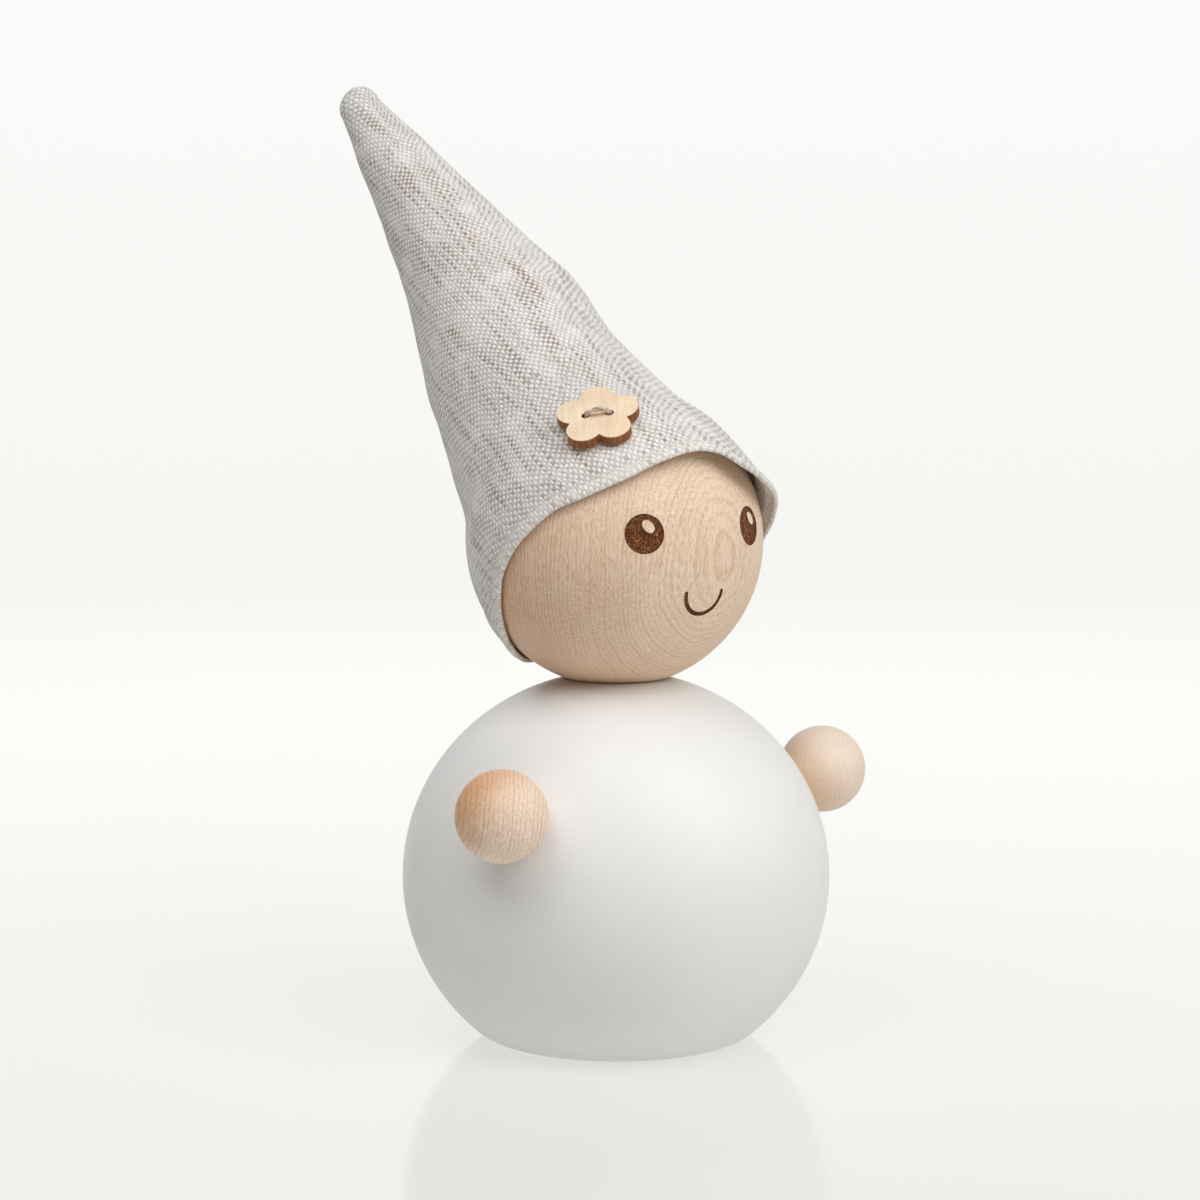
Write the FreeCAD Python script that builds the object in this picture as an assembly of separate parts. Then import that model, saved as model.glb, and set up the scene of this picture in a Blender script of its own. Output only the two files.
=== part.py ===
"""Tomte gnome figurine: a turned wooden ball body with a ball head, two ball hands and a linen hat.

Millimetres, +Z up.  The origin is the centre of the body's flat foot, and the body's front faces -Y.
"""
import FreeCAD, Part
import math
import os

V = FreeCAD.Vector
UP = V(0, 0, 1)

# Body: an oblate turned ball with a flat foot and a small flat on top
BODY_RADIUS = 36.6
BODY_HALF_HEIGHT = 35.0
BODY_CENTRE_Z = 28.0
FOOT_EDGE_ROUND = 8.0
NECK_FLAT_Z = 62.0

# Head: a turned ball with a flat that sits on the body's flat
HEAD_RADIUS = 25.0
HEAD_CENTRE_Z = 85.5
HEAD_FLAT_GAP = 0.1
HEAD_TURN = -6.1

# Neck dowel: glued in the head, turns in the body
NECK_DOWEL_RADIUS = 4.0
NECK_DOWEL_BOTTOM_Z = 47.0
NECK_DOWEL_TOP_Z = 77.0
NECK_BORE_CLEARANCE = 0.06
BORE_END_GAP = 0.5
DOWEL_CHAMFER = 0.6

# Face: shallow burned-in marks, placed as angles about the head's centre
ENGRAVING_DEPTH = 0.2
FACE_ROLL = 1.0
EYE_AZIMUTH = 26.5
EYE_LATITUDE = 7.1
EYE_RADIUS = 3.3
GLINT_HALF_LENGTH = 1.25
GLINT_HALF_WIDTH = 0.85
GLINT_RIGHT = 0.7
GLINT_UP = 1.2
GLINT_TILT = -50.0
MOUTH_RADIUS = 3.7
MOUTH_CENTRE_DROP = 7.1
MOUTH_STROKE = 0.7

# Hands: small balls let into the body and held by dowels
HAND_RADIUS = 7.6
HAND_AZIMUTH = 70.8
HAND_CENTRE_OUT = 39.86
HAND_CENTRE_Z = 43.8
HAND_SLOPE = 28.0
HAND_DOWEL_RADIUS = 2.5
HAND_DOWEL_IN_HAND = 4.5
HAND_DOWEL_IN_BODY = 8.0
SEAT_GLUE_GAP = 0.05

# Hat: a linen cone on an axis through the head's centre, leaning straight back
HAT_AXIS_RISE = 46.0
HAT_CLOTH = 0.6
HAT_HEAD_GAP = 0.15
HAT_RIM_STATION = -6.5
HAT_TIP_STATION = 108.5
HAT_TIP_RADIUS = 3.4
HAT_SAG_BACK = 2.6
HAT_BOW_SIDE = 0.8
HAT_FLARE_SIDE = 1.2
HAT_FLARE_END = 15.0
# (distance along the axis from the head's centre, outer radius)
HAT_SECTIONS = [
    (-12.0, 25.9),
    (0.0, 26.8),
    (15.0, 22.2),
    (30.0, 18.6),
    (45.0, 16.2),
    (60.0, 13.2),
    (75.0, 10.2),
    (90.0, 7.3),
    (104.0, 4.4),
]
STUFFING_GAP = 0.1
STUFFING_START = 12.0

# Stitching of the hat: thread stitches that lie half in the cloth
STITCH_RADIUS = 0.16
HEM_STITCH_STATION = -4.2
HEM_STITCHES = 60
HEM_STITCH_LENGTH = 1.7
SEAM_STITCHES = 36
SEAM_STITCH_LENGTH = 2.0
SEAM_FIRST_STATION = -2.0
SEAM_LAST_STATION = 102.0
SEAM_ANGLE = 180.0

# Flower button: five round petals, sewn on through two holes
BUTTON_STATION = 7.8
BUTTON_ANGLE = -28.3
BUTTON_STANDOFF = 0.4
BUTTON_THICKNESS = 1.8
BUTTON_SPIN = -22.0
PETALS = 5
PETAL_RADIUS = 2.9
PETAL_OFFSET = 4.15
BUTTON_HOLE_RADIUS = 0.65
BUTTON_HOLE_SPACING = 4.0
THREAD_RADIUS = 0.4
THREAD_STAPLE_RISE = 0.42
THREAD_TAIL = 0.6


def rotated_z(shape, degrees):
    """A copy of the shape turned about the vertical axis through the origin."""
    turned = shape.copy()
    turned.rotate(V(0, 0, 0), UP, degrees)
    return turned


def chamfered_rod(start, direction, length, radius):
    """A round rod with a small chamfer at both ends."""
    rod = Part.makeCylinder(radius, length, start, direction)
    ends = [edge for edge in rod.Edges if edge.Curve.TypeId == "Part::GeomCircle"]
    return rod.makeChamfer(DOWEL_CHAMFER * radius / NECK_DOWEL_RADIUS, ends)


# ---------------------------------------------------------------- hands' places

def hand_centre(side):
    """Centre of the hand on the +X (side=1) or -X (side=-1) side."""
    angle = math.radians(HAND_AZIMUTH)
    return V(side * HAND_CENTRE_OUT * math.sin(angle), -HAND_CENTRE_OUT * math.cos(angle), HAND_CENTRE_Z)


def hand_direction(side):
    """Unit vector from the body out through the hand, square to the body's surface."""
    angle = math.radians(HAND_AZIMUTH)
    slope = math.radians(HAND_SLOPE)
    out = math.cos(slope)
    return V(side * out * math.sin(angle), -out * math.cos(angle), math.sin(slope))


def hand_dowel(side):
    outer_end = HAND_DOWEL_IN_HAND - HAND_RADIUS
    start = hand_centre(side) + hand_direction(side) * (outer_end - HAND_DOWEL_IN_HAND - HAND_DOWEL_IN_BODY)
    length = HAND_DOWEL_IN_HAND + HAND_DOWEL_IN_BODY
    return chamfered_rod(start, hand_direction(side), length, HAND_DOWEL_RADIUS)


def hand_bore(side):
    """The hole for the dowel, a little deeper than the dowel at both ends."""
    outer_end = HAND_DOWEL_IN_HAND - HAND_RADIUS
    length = HAND_DOWEL_IN_HAND + HAND_DOWEL_IN_BODY + 2 * BORE_END_GAP
    start = hand_centre(side) + hand_direction(side) * (outer_end + BORE_END_GAP - length)
    return Part.makeCylinder(HAND_DOWEL_RADIUS, length, start, hand_direction(side))


def hand(side):
    ball = Part.makeSphere(HAND_RADIUS, hand_centre(side))
    return ball.cut(hand_bore(side))


# ---------------------------------------------------------------- body and neck

def body():
    """The turned body: a spheroid with a rounded flat foot, a neck flat, a neck bore and hand seats."""
    spheroid = Part.makeSphere(1.0)
    scale = FreeCAD.Matrix()
    scale.scale(BODY_RADIUS, BODY_RADIUS, BODY_HALF_HEIGHT)
    spheroid = spheroid.transformGeometry(scale)
    spheroid.translate(V(0, 0, BODY_CENTRE_Z))
    block = Part.makeCylinder(2 * BODY_RADIUS, NECK_FLAT_Z)
    turned = spheroid.common(block)
    foot = [e for e in turned.Edges if e.BoundBox.ZMax < 0.01 and e.BoundBox.ZMin > -0.01]
    turned = turned.makeFillet(FOOT_EDGE_ROUND, foot)
    bore_bottom = NECK_DOWEL_BOTTOM_Z - BORE_END_GAP
    bore_radius = NECK_DOWEL_RADIUS + NECK_BORE_CLEARANCE
    neck_bore = Part.makeCylinder(bore_radius, NECK_FLAT_Z - bore_bottom + 1, V(0, 0, bore_bottom))
    turned = turned.cut(neck_bore)
    for side in (-1, 1):
        seat = Part.makeSphere(HAND_RADIUS + SEAT_GLUE_GAP, hand_centre(side))
        turned = turned.cut(seat).cut(hand_bore(side))
    return turned


def neck_dowel():
    length = NECK_DOWEL_TOP_Z - NECK_DOWEL_BOTTOM_Z
    return chamfered_rod(V(0, 0, NECK_DOWEL_BOTTOM_Z), UP, length, NECK_DOWEL_RADIUS)


# ---------------------------------------------------------------- head and face
# The head and all it carries are made with the face towards -Y about the head's centre, then placed.

def placed_on_head(shape):
    placed = shape.copy()
    placed.rotate(V(0, 0, 0), V(0, 1, 0), -FACE_ROLL)
    placed.translate(V(0, 0, HEAD_CENTRE_Z))
    return rotated_z(placed, HEAD_TURN)


def head_skin():
    """The thin layer of wood that the engraving takes away."""
    return Part.makeSphere(HEAD_RADIUS + 1).cut(Part.makeSphere(HEAD_RADIUS - ENGRAVING_DEPTH))


def eye_direction(side):
    azimuth = math.radians(side * EYE_AZIMUTH)
    latitude = math.radians(EYE_LATITUDE)
    flat = math.cos(latitude)
    return V(flat * math.sin(azimuth), -flat * math.cos(azimuth), math.sin(latitude))


def eye(side):
    """A round burned patch with a small oval glint left standing in it."""
    out = eye_direction(side)
    right = UP.cross(out).normalize()
    up = out.cross(right)
    patch = Part.makeCylinder(EYE_RADIUS, 2 * HEAD_RADIUS, V(0, 0, 0), out)
    glint_centre = right * GLINT_RIGHT + up * GLINT_UP
    tilt = math.radians(GLINT_TILT)
    long_way = right * math.cos(tilt) + up * math.sin(tilt)
    oval = Part.Ellipse(glint_centre + long_way * GLINT_HALF_LENGTH,
                        glint_centre + out.cross(long_way) * GLINT_HALF_WIDTH, glint_centre)
    glint = Part.Face(Part.Wire(oval.toShape())).extrude(out * 2 * HEAD_RADIUS)
    return patch.cut(glint).common(head_skin())


def mouth():
    """A half-round smile of even width with round ends."""
    centre = V(0, -HEAD_RADIUS, -MOUTH_CENTRE_DROP)
    back = V(0, 1, 0)
    depth = HEAD_RADIUS
    outer = Part.makeCylinder(MOUTH_RADIUS + MOUTH_STROKE / 2, depth, centre, back)
    inner = Part.makeCylinder(MOUTH_RADIUS - MOUTH_STROKE / 2, depth, centre, back)
    ring = outer.cut(inner)
    upper_half = Part.makeBox(4 * MOUTH_RADIUS, depth, 2 * MOUTH_RADIUS,
                              centre - V(2 * MOUTH_RADIUS, 0, 0))
    smile = ring.cut(upper_half)
    for side in (-1, 1):
        end = centre + V(side * MOUTH_RADIUS, 0, 0)
        smile = smile.fuse(Part.makeCylinder(MOUTH_STROKE / 2, depth, end, back))
    return smile.common(head_skin())


def head():
    flat_z = NECK_FLAT_Z + HEAD_FLAT_GAP - HEAD_CENTRE_Z
    ball = Part.makeSphere(HEAD_RADIUS)
    marks = eye(-1).fuse([eye(1), mouth()])
    ball = placed_on_head(ball.cut(marks))
    block = Part.makeCylinder(2 * HEAD_RADIUS, 4 * HEAD_RADIUS, V(0, 0, HEAD_CENTRE_Z + flat_z))
    bore_top = NECK_DOWEL_TOP_Z + BORE_END_GAP
    bore = Part.makeCylinder(NECK_DOWEL_RADIUS, bore_top - NECK_FLAT_Z, V(0, 0, NECK_FLAT_Z))
    return ball.common(block).cut(bore)


# ---------------------------------------------------------------- hat

RISE = math.radians(HAT_AXIS_RISE)
HAT_AXIS = V(0, math.cos(RISE), math.sin(RISE))
HAT_FRONT = V(0, -math.sin(RISE), math.cos(RISE))
HAT_SIDE = V(1, 0, 0)


def hat_centre(station):
    """Centre of the hat's round section: it stands off to one side at the rim and sags to the tip."""
    along = max(station, 0) / HAT_TIP_STATION
    flare = max(0.0, 1 - max(station, 0) / HAT_FLARE_END)
    front = -HAT_SAG_BACK * along ** 2
    side = HAT_FLARE_SIDE * flare + HAT_BOW_SIDE * math.sin(math.pi * along)
    return HAT_AXIS * station + HAT_FRONT * front + HAT_SIDE * side


def hat_radius(station):
    """Outer radius, by straight lines between the sections."""
    for (low, low_radius), (high, high_radius) in zip(HAT_SECTIONS, HAT_SECTIONS[1:]):
        if station <= high:
            break
    part_way = (station - low) / (high - low)
    return low_radius + (high_radius - low_radius) * part_way


def hat_point(station, degrees, out=0.0):
    """A point on the hat's outer surface, or out beyond it."""
    angle = math.radians(degrees)
    spoke = HAT_FRONT * math.cos(angle) + HAT_SIDE * math.sin(angle)
    return hat_centre(station) + spoke * (hat_radius(station) + out)


def hat_normal(station, degrees):
    """Unit vector square to the hat's surface, pointing out."""
    step = 1.0
    along = hat_point(station + step, degrees) - hat_point(station - step, degrees)
    around = hat_point(station, degrees + step) - hat_point(station, degrees - step)
    normal = around.cross(along)
    return normal.normalize()


def hat_cone(inset, first_station):
    """The cone's solid, its surface set in from the outside by inset."""
    rings = []
    for station, radius in HAT_SECTIONS:
        ring = Part.Circle(hat_centre(station), HAT_AXIS, radius - inset)
        rings.append(Part.Wire(ring.toShape()))
    cone = Part.makeLoft(rings, True, False)
    last_station = HAT_SECTIONS[-1][0]
    tip = Part.makeSphere(HAT_TIP_RADIUS - inset, hat_centre(HAT_TIP_STATION))
    neck_ring = Part.Circle(hat_centre(last_station), HAT_AXIS, HAT_SECTIONS[-1][1] - inset)
    tip_ring = Part.Circle(hat_centre(HAT_TIP_STATION), HAT_AXIS, HAT_TIP_RADIUS - inset)
    end = Part.makeLoft([Part.Wire(neck_ring.toShape()), Part.Wire(tip_ring.toShape())], True, True)
    whole = cone.fuse([end, tip]).removeSplitter()
    size = 4 * HEAD_RADIUS
    keep = Part.makeCylinder(size, 2 * size, HAT_AXIS * first_station, HAT_AXIS)
    return whole.common(keep)


def hat():
    shell = hat_cone(0.0, HAT_RIM_STATION).cut(hat_cone(HAT_CLOTH, HAT_RIM_STATION - 1))
    shell = shell.cut(Part.makeSphere(HEAD_RADIUS + HAT_HEAD_GAP))
    return placed_on_head(shell)


def hat_stuffing():
    filling = hat_cone(HAT_CLOTH + STUFFING_GAP, STUFFING_START)
    filling = filling.cut(Part.makeSphere(HEAD_RADIUS + HAT_HEAD_GAP))
    return placed_on_head(filling)


def stitch(middle, direction, length):
    start = middle - direction * (length / 2)
    return Part.makeCylinder(STITCH_RADIUS, length, start, direction)


def hem_stitching():
    """Running stitches that hold the turned-up hem, all the way round."""
    stitches = []
    step = 360.0 / HEM_STITCHES
    for number in range(HEM_STITCHES):
        angle = number * step
        middle = hat_point(HEM_STITCH_STATION, angle)
        direction = (hat_point(HEM_STITCH_STATION, angle + 1) - middle).normalize()
        stitches.append(stitch(middle, direction, HEM_STITCH_LENGTH))
    return placed_on_head(Part.makeCompound(stitches))


def seam_stitching():
    """Stitches of the seam that closes the cone, up the back of the hat."""
    stitches = []
    step = (SEAM_LAST_STATION - SEAM_FIRST_STATION) / (SEAM_STITCHES - 1)
    for number in range(SEAM_STITCHES):
        station = SEAM_FIRST_STATION + number * step
        middle = hat_point(station, SEAM_ANGLE)
        direction = (hat_point(station + 1, SEAM_ANGLE) - middle).normalize()
        stitches.append(stitch(middle, direction, SEAM_STITCH_LENGTH))
    return placed_on_head(Part.makeCompound(stitches))


# ---------------------------------------------------------------- button

def button_axes():
    """Back centre, right, up and out directions of the button as it lies on the hat."""
    out = hat_normal(BUTTON_STATION, BUTTON_ANGLE)
    up = (HAT_AXIS - out * HAT_AXIS.dot(out)).normalize()
    right = up.cross(out)
    back = hat_point(BUTTON_STATION, BUTTON_ANGLE) + out * BUTTON_STANDOFF
    return back, right, up, out


def on_button(right_way, up_way, height):
    back, right, up, out = button_axes()
    return back + right * right_way + up * up_way + out * height


def turned_pair(distance, degrees):
    angle = math.radians(degrees + BUTTON_SPIN)
    return distance * math.cos(angle), distance * math.sin(angle)


def flower_button():
    out = button_axes()[3]
    shape = Part.makeCylinder(PETAL_OFFSET, BUTTON_THICKNESS, on_button(0, 0, 0), out)
    for petal in range(PETALS):
        across, along = turned_pair(PETAL_OFFSET, 90 + petal * 360.0 / PETALS)
        shape = shape.fuse(Part.makeCylinder(PETAL_RADIUS, BUTTON_THICKNESS, on_button(across, along, 0), out))
    shape = shape.removeSplitter()
    for side in (-1, 1):
        across, along = turned_pair(side * BUTTON_HOLE_SPACING / 2, 0)
        hole = Part.makeCylinder(BUTTON_HOLE_RADIUS, BUTTON_THICKNESS + 2, on_button(across, along, -1), out)
        shape = shape.cut(hole)
    return placed_on_head(shape)


def button_thread():
    """Thread over the button's face and down both holes into the cloth."""
    out = button_axes()[3]
    top = BUTTON_THICKNESS + THREAD_STAPLE_RISE
    first = turned_pair(-BUTTON_HOLE_SPACING / 2, 0)
    last = turned_pair(BUTTON_HOLE_SPACING / 2, 0)
    span_start = on_button(first[0], first[1], top)
    span_end = on_button(last[0], last[1], top)
    run = span_end - span_start
    thread = Part.makeCylinder(THREAD_RADIUS, run.Length, span_start, run)
    for corner in (span_start, span_end):
        leg = Part.makeCylinder(THREAD_RADIUS, top + THREAD_TAIL, corner, out * -1)
        thread = thread.fuse([leg, Part.makeSphere(THREAD_RADIUS, corner)])
    return placed_on_head(thread.removeSplitter())


def export_all():
    nodes = {
        "body": body(),
        "neck_dowel": neck_dowel(),
        "head": head(),
        "right_hand": hand(-1),
        "left_hand": hand(1),
        "right_hand_dowel": hand_dowel(-1),
        "left_hand_dowel": hand_dowel(1),
        "hat": hat(),
        "hat_stuffing": hat_stuffing(),
        "hem_stitching": hem_stitching(),
        "seam_stitching": seam_stitching(),
        "flower_button": flower_button(),
        "button_thread": button_thread(),
    }
    os.makedirs("parts", exist_ok=True)
    for name, shape in nodes.items():
        box = shape.BoundBox
        print(f"{name:18s} valid {shape.isValid()} solids {len(shape.Solids)} volume {shape.Volume:10.1f}"
              f"  z {box.ZMin:6.2f} to {box.ZMax:6.2f}")
        shape.exportStep(f"parts/{name}.step")


export_all()
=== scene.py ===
"""Looks of the tomte figurine: painted body, maple head and hands, linen hat and flower button.

Everything is in metres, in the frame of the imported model.  Sizes in the tables below are millimetres.
"""
import math

import bmesh
import bpy
from mathutils import Matrix, Vector, noise


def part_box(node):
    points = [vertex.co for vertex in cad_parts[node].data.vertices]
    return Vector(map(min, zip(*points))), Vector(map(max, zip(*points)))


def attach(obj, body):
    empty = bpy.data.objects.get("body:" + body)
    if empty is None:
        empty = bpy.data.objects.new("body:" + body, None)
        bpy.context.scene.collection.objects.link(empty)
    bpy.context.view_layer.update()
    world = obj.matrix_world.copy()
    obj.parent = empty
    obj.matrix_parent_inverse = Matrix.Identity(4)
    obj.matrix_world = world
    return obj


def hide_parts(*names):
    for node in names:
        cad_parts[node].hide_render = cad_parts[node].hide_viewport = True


bl_info = {
    "name": "Tomte Figurine",
    "version": (1, 0, 0),
    "blender": (4, 5, 0),
    "location": "View3D > Sidebar > Tomte",
    "description": "Builds a turned wooden tomte with a linen hat",
    "category": "Add Mesh",
}

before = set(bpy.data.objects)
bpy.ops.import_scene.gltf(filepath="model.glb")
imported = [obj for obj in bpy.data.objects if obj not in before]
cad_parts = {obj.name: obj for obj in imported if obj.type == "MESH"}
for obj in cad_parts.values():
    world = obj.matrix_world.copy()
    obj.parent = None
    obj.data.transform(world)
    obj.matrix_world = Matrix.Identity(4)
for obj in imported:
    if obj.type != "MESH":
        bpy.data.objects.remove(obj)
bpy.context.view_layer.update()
MM = 0.001
UP = Vector((0, 0, 1))
SAME_PLACE = 2e-6

# The hat's rim about its axis: (degrees from the front, station along the axis, outer radius)
HAT_RIM = [
    (-180, -4.8, 25.4), (-165, -6.0, 25.0), (-140, -8.9, 24.3), (-120, -8.0, 24.7), (-105, -6.2, 25.3),
    (-90, -4.2, 25.8), (-75, -3.3, 25.9), (-60, -3.2, 25.9), (-45, -4.4, 26.0), (-30, -4.9, 26.2),
    (-15, -4.3, 26.9), (0, -3.9, 27.8), (9, -4.7, 28.0), (20, -7.4, 28.0), (35, -8.9, 27.7), (60, -7.5, 26.6),
    (90, -6.5, 25.8), (120, -8.0, 24.9), (140, -8.9, 24.4), (165, -6.0, 25.0), (180, -4.8, 25.4),
]
# The hat above the rim: (station, outer radius, centre's offset to the figurine's left)
HAT_SECTIONS = [
    (8, 24.39, 0.98), (17, 21.21, 0.49), (27, 19.15, 0.25), (38, 17.29, 0.2), (50, 15.47, 1.32),
    (62, 12.76, 1.52), (74, 10.31, 1.22), (86, 7.94, 0.62), (98, 5.44, -0.17), (107, 3.9, -0.65),
]
HAT_SAG = 2.0
HAT_LENGTH = 108.0
# Room between the head and the cloth, and the room a folded layer takes for each thickness of cloth
HAT_GAP = 0.12
FOLD_ROOM = 1.12
FOLD_TOP = 0.35
TIP_STATION = 107.6
# The hat's flat cut is a sector about the tip: its radius, its narrowing, and millimetres to a UV unit
FLAT_APEX = 127.0
FLAT_SPREAD = 0.23
FLAT_UNIT = 200.0
FLAT_TIP_SHIFT = 5.5
# Where the hem's paler band begins and is full, as distances from the flat cut's tip
HEM_BAND = (124.2, 124.8)
# The button's place on the hat: middle of its back face, and the way it faces
BUTTON_BACK = Vector((-12.3805, -8.9344, 106.1487))
BUTTON_AZIMUTH = math.radians(-54.26)
BUTTON_RISE = math.radians(50.9)
BUTTON_GRAIN_TURN = math.radians(-24.4)

# Softboxes: (name, place in metres, watts)
SOFTBOXES = [
    ("Key Softbox", (0.025, -0.905, 0.92), 9.6),
    ("Upper Left Softbox", (-0.55, -0.02, 1.18), 7.2),
    ("Front Softbox", (-0.575, -0.607, 1.0), 0.8),
    ("Low Right Softbox", (0.888, -0.841, 0.47), 2.0),
    ("Back Softbox", (0.55, 0.95, 0.85), 1.6),
]
SOFTBOX_SIZE = 0.9
SOFTBOX_AIM = Vector((0, 0, 0.07))
ROOM_LIGHT = 0.04
# The floor is solid up to the first distance from the figurine and gone at the second
FLOOR_FADE = (0.25, 0.9)
CAMERA_PLACE = (-0.3732, -0.3943, 0.1281)
CAMERA_DIRECTION = (0.6805, 0.7263, -0.0969)
CAMERA_LENS = 96.0
CAMERA_SENSOR = 36.0


# ---------------------------------------------------------------- sizes and colours a user may change

def size(name, description, millimetres):
    return bpy.props.FloatProperty(name=name, description=description, default=millimetres * MM, min=0.0,
                                   precision=5, unit="LENGTH", subtype="DISTANCE")


def turn_of(name, description, degrees):
    return bpy.props.FloatProperty(name=name, description=description, default=math.radians(degrees),
                                   unit="ROTATION", subtype="ANGLE")


def colour(name, description, red, green, blue):
    """A colour property, its default given as screen values from 0 to 255."""
    return bpy.props.FloatVectorProperty(name=name, description=description, size=4, min=0.0, max=1.0,
                                         default=screen(red, green, blue), subtype="COLOR")


def screen(red, green, blue):
    """Screen values from 0 to 255 as linear light, with full alpha."""
    linear = []
    for value in (red, green, blue):
        share = value / 255
        linear.append(share / 12.92 if share <= 0.04045 else ((share + 0.055) / 1.055) ** 2.4)
    return (*linear, 1.0)


class TomteBodySizes(bpy.types.PropertyGroup):
    radius: size("Radius", "Half the width of the turned body", 36.6)
    half_height: size("Half Height", "Half the height of the ball that the body is cut from", 35.0)
    centre_height: size("Centre Height", "Height of that ball's centre over the table", 28.0)
    foot_round: size("Foot Rounding", "Radius of the rounding round the flat foot", 8.0)
    neck_height: size("Neck Height", "Height of the small flat under the head", 62.0)
    bore_radius: size("Neck Bore Radius", "Radius of the hole for the neck dowel", 4.06)
    bore_bottom: size("Bore Bottom Height", "Height of the bottom of the neck bore", 46.5)
    paint: colour("Paint", "Matt white paint of the body", 238, 237, 235)


class TomteHeadSizes(bpy.types.PropertyGroup):
    radius: size("Radius", "Radius of the ball head", 25.0)
    centre_height: size("Centre Height", "Height of the head's centre over the table", 85.5)
    flat_height: size("Flat Height", "Height of the flat under the head", 62.1)
    bore_radius: size("Neck Bore Radius", "Radius of the hole for the neck dowel", 4.0)
    bore_top: size("Bore Top Height", "Height of the top of the neck bore", 77.5)
    turned: turn_of("Turned", "How far the face is turned to the figurine's left", -6.1)
    rolled: turn_of("Rolled", "How far the face is tipped to one side", -1.0)
    engraving: size("Engraving Depth", "Depth of the burned-in eyes and mouth", 0.2)
    eye_radius: size("Eye Radius", "Radius of a burned eye", 3.3)
    eye_azimuth: turn_of("Eye Azimuth", "How far each eye stands to the side", 26.5)
    eye_latitude: turn_of("Eye Latitude", "How far each eye stands above the middle", 7.1)
    mouth_radius: size("Mouth Radius", "Radius of the smile's half circle", 3.7)
    mouth_drop: size("Mouth Drop", "How far the half circle's centre is below the head's", 7.1)
    mouth_stroke: size("Mouth Stroke", "Width of the smile's line", 0.7)
    pale: colour("Pale Maple", "Early wood of the head", 250, 230, 206)
    ring: colour("Ring Maple", "Late wood that draws the growth rings", 214, 177, 143)


class TomteHandSizes(bpy.types.PropertyGroup):
    radius: size("Radius", "Radius of a ball hand", 7.6)
    azimuth: turn_of("Azimuth", "How far each hand stands from the front", 70.8)
    out: size("Distance Out", "Distance from the body's axis to a hand's centre", 39.86)
    height: size("Height", "Height of a hand's centre over the table", 43.8)
    slope: turn_of("Dowel Slope", "How far the hand's dowel rises", 28.0)
    dowel_radius: size("Dowel Radius", "Radius of the hand's dowel", 2.5)
    dowel_depth: size("Dowel Depth", "How far the bore goes into the hand", 5.0)
    dowel_in_body: size("Dowel In Body", "How far the bore goes on into the body", 8.5)
    glue_gap: size("Glue Gap", "Room between a hand and its seat", 0.05)
    pale: colour("Pale Maple", "Early wood of the hands", 248, 233, 216)
    ring: colour("Ring Maple", "Late wood that draws the growth rings", 212, 170, 132)


class TomteHatSizes(bpy.types.PropertyGroup):
    cloth: size("Cloth Thickness", "Thickness of the linen", 0.4)
    hem: size("Hem Width", "How far the rim is turned up inside", 6.0)
    stitch_line: size("Stitch Line", "Distance of the hem's stitches from the rim", 2.3)
    pitch: size("Thread Pitch", "Distance from thread to thread in the weave", 0.68)
    weft: colour("Weft", "Bleached thread that runs round the hat", 255, 254, 253)
    warp: colour("Warp", "Greyer thread that runs up the hat", 234, 228, 223)
    natural: colour("Natural Thread", "Unbleached linen in the slubs", 168, 145, 128)
    # The gap colour is painted shade in the hollows between the threads
    gap: colour("Gap", "Between the threads", 172, 162, 155)


class TomteButtonSizes(bpy.types.PropertyGroup):
    petal_radius: size("Petal Radius", "Radius of each round petal", 2.9)
    petal_offset: size("Petal Offset", "Distance from the button's middle to a petal's", 4.15)
    thickness: size("Thickness", "Thickness of the plywood", 1.8)
    hole_radius: size("Hole Radius", "Radius of a sewing hole", 0.65)
    hole_spacing: size("Hole Spacing", "Distance between the sewing holes", 4.0)
    spin: turn_of("Spin", "How far the button is turned on the hat", -22.0)
    strand_radius: size("Strand Radius", "Radius of one strand of the button's thread", 0.24)
    birch: colour("Birch", "Face of the plywood", 246, 225, 197)
    scorch: colour("Scorch", "Edge browned by the cutter", 134, 77, 33)


class TomteStageSizes(bpy.types.PropertyGroup):
    floor_radius: size("Floor Radius", "Radius of the pale floor", 3200.0)
    floor: colour("Floor", "Pale glossy acrylic of the light table", 140, 140, 139)
    floor_glow: bpy.props.FloatProperty(name="Floor Glow", default=0.55, min=0.0,
                                        description="Light that the table gives from inside")


# ---------------------------------------------------------------- helpers for modelling

def clear_selection():
    if bpy.context.object and bpy.context.object.mode != "OBJECT":
        bpy.ops.object.mode_set(mode="OBJECT")
    bpy.ops.object.select_all(action="DESELECT")


def pick(piece):
    """Selects one piece and makes it the active one."""
    clear_selection()
    piece.select_set(True)
    bpy.context.view_layer.objects.active = piece
    return piece


def named(piece, name):
    piece.name = name
    piece.data.name = name
    return piece


def edit_all():
    """Edit mode with everything selected."""
    bpy.ops.object.mode_set(mode="EDIT")
    bpy.ops.mesh.select_all(action="SELECT")


def extrude(*way):
    bpy.ops.mesh.extrude_region_move(TRANSFORM_OT_translate={"value": way})


def close_mesh():
    """Turns all faces outwards and goes back to object mode."""
    bpy.ops.mesh.select_all(action="SELECT")
    bpy.ops.mesh.normals_make_consistent(inside=False)
    bpy.ops.object.mode_set(mode="OBJECT")


def settle(piece, place=None):
    """Puts the piece at its place and writes that place into its mesh."""
    pick(piece)
    if place is not None:
        piece.matrix_world = place
    bpy.ops.object.transform_apply(location=True, rotation=True, scale=True)
    return piece


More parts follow.
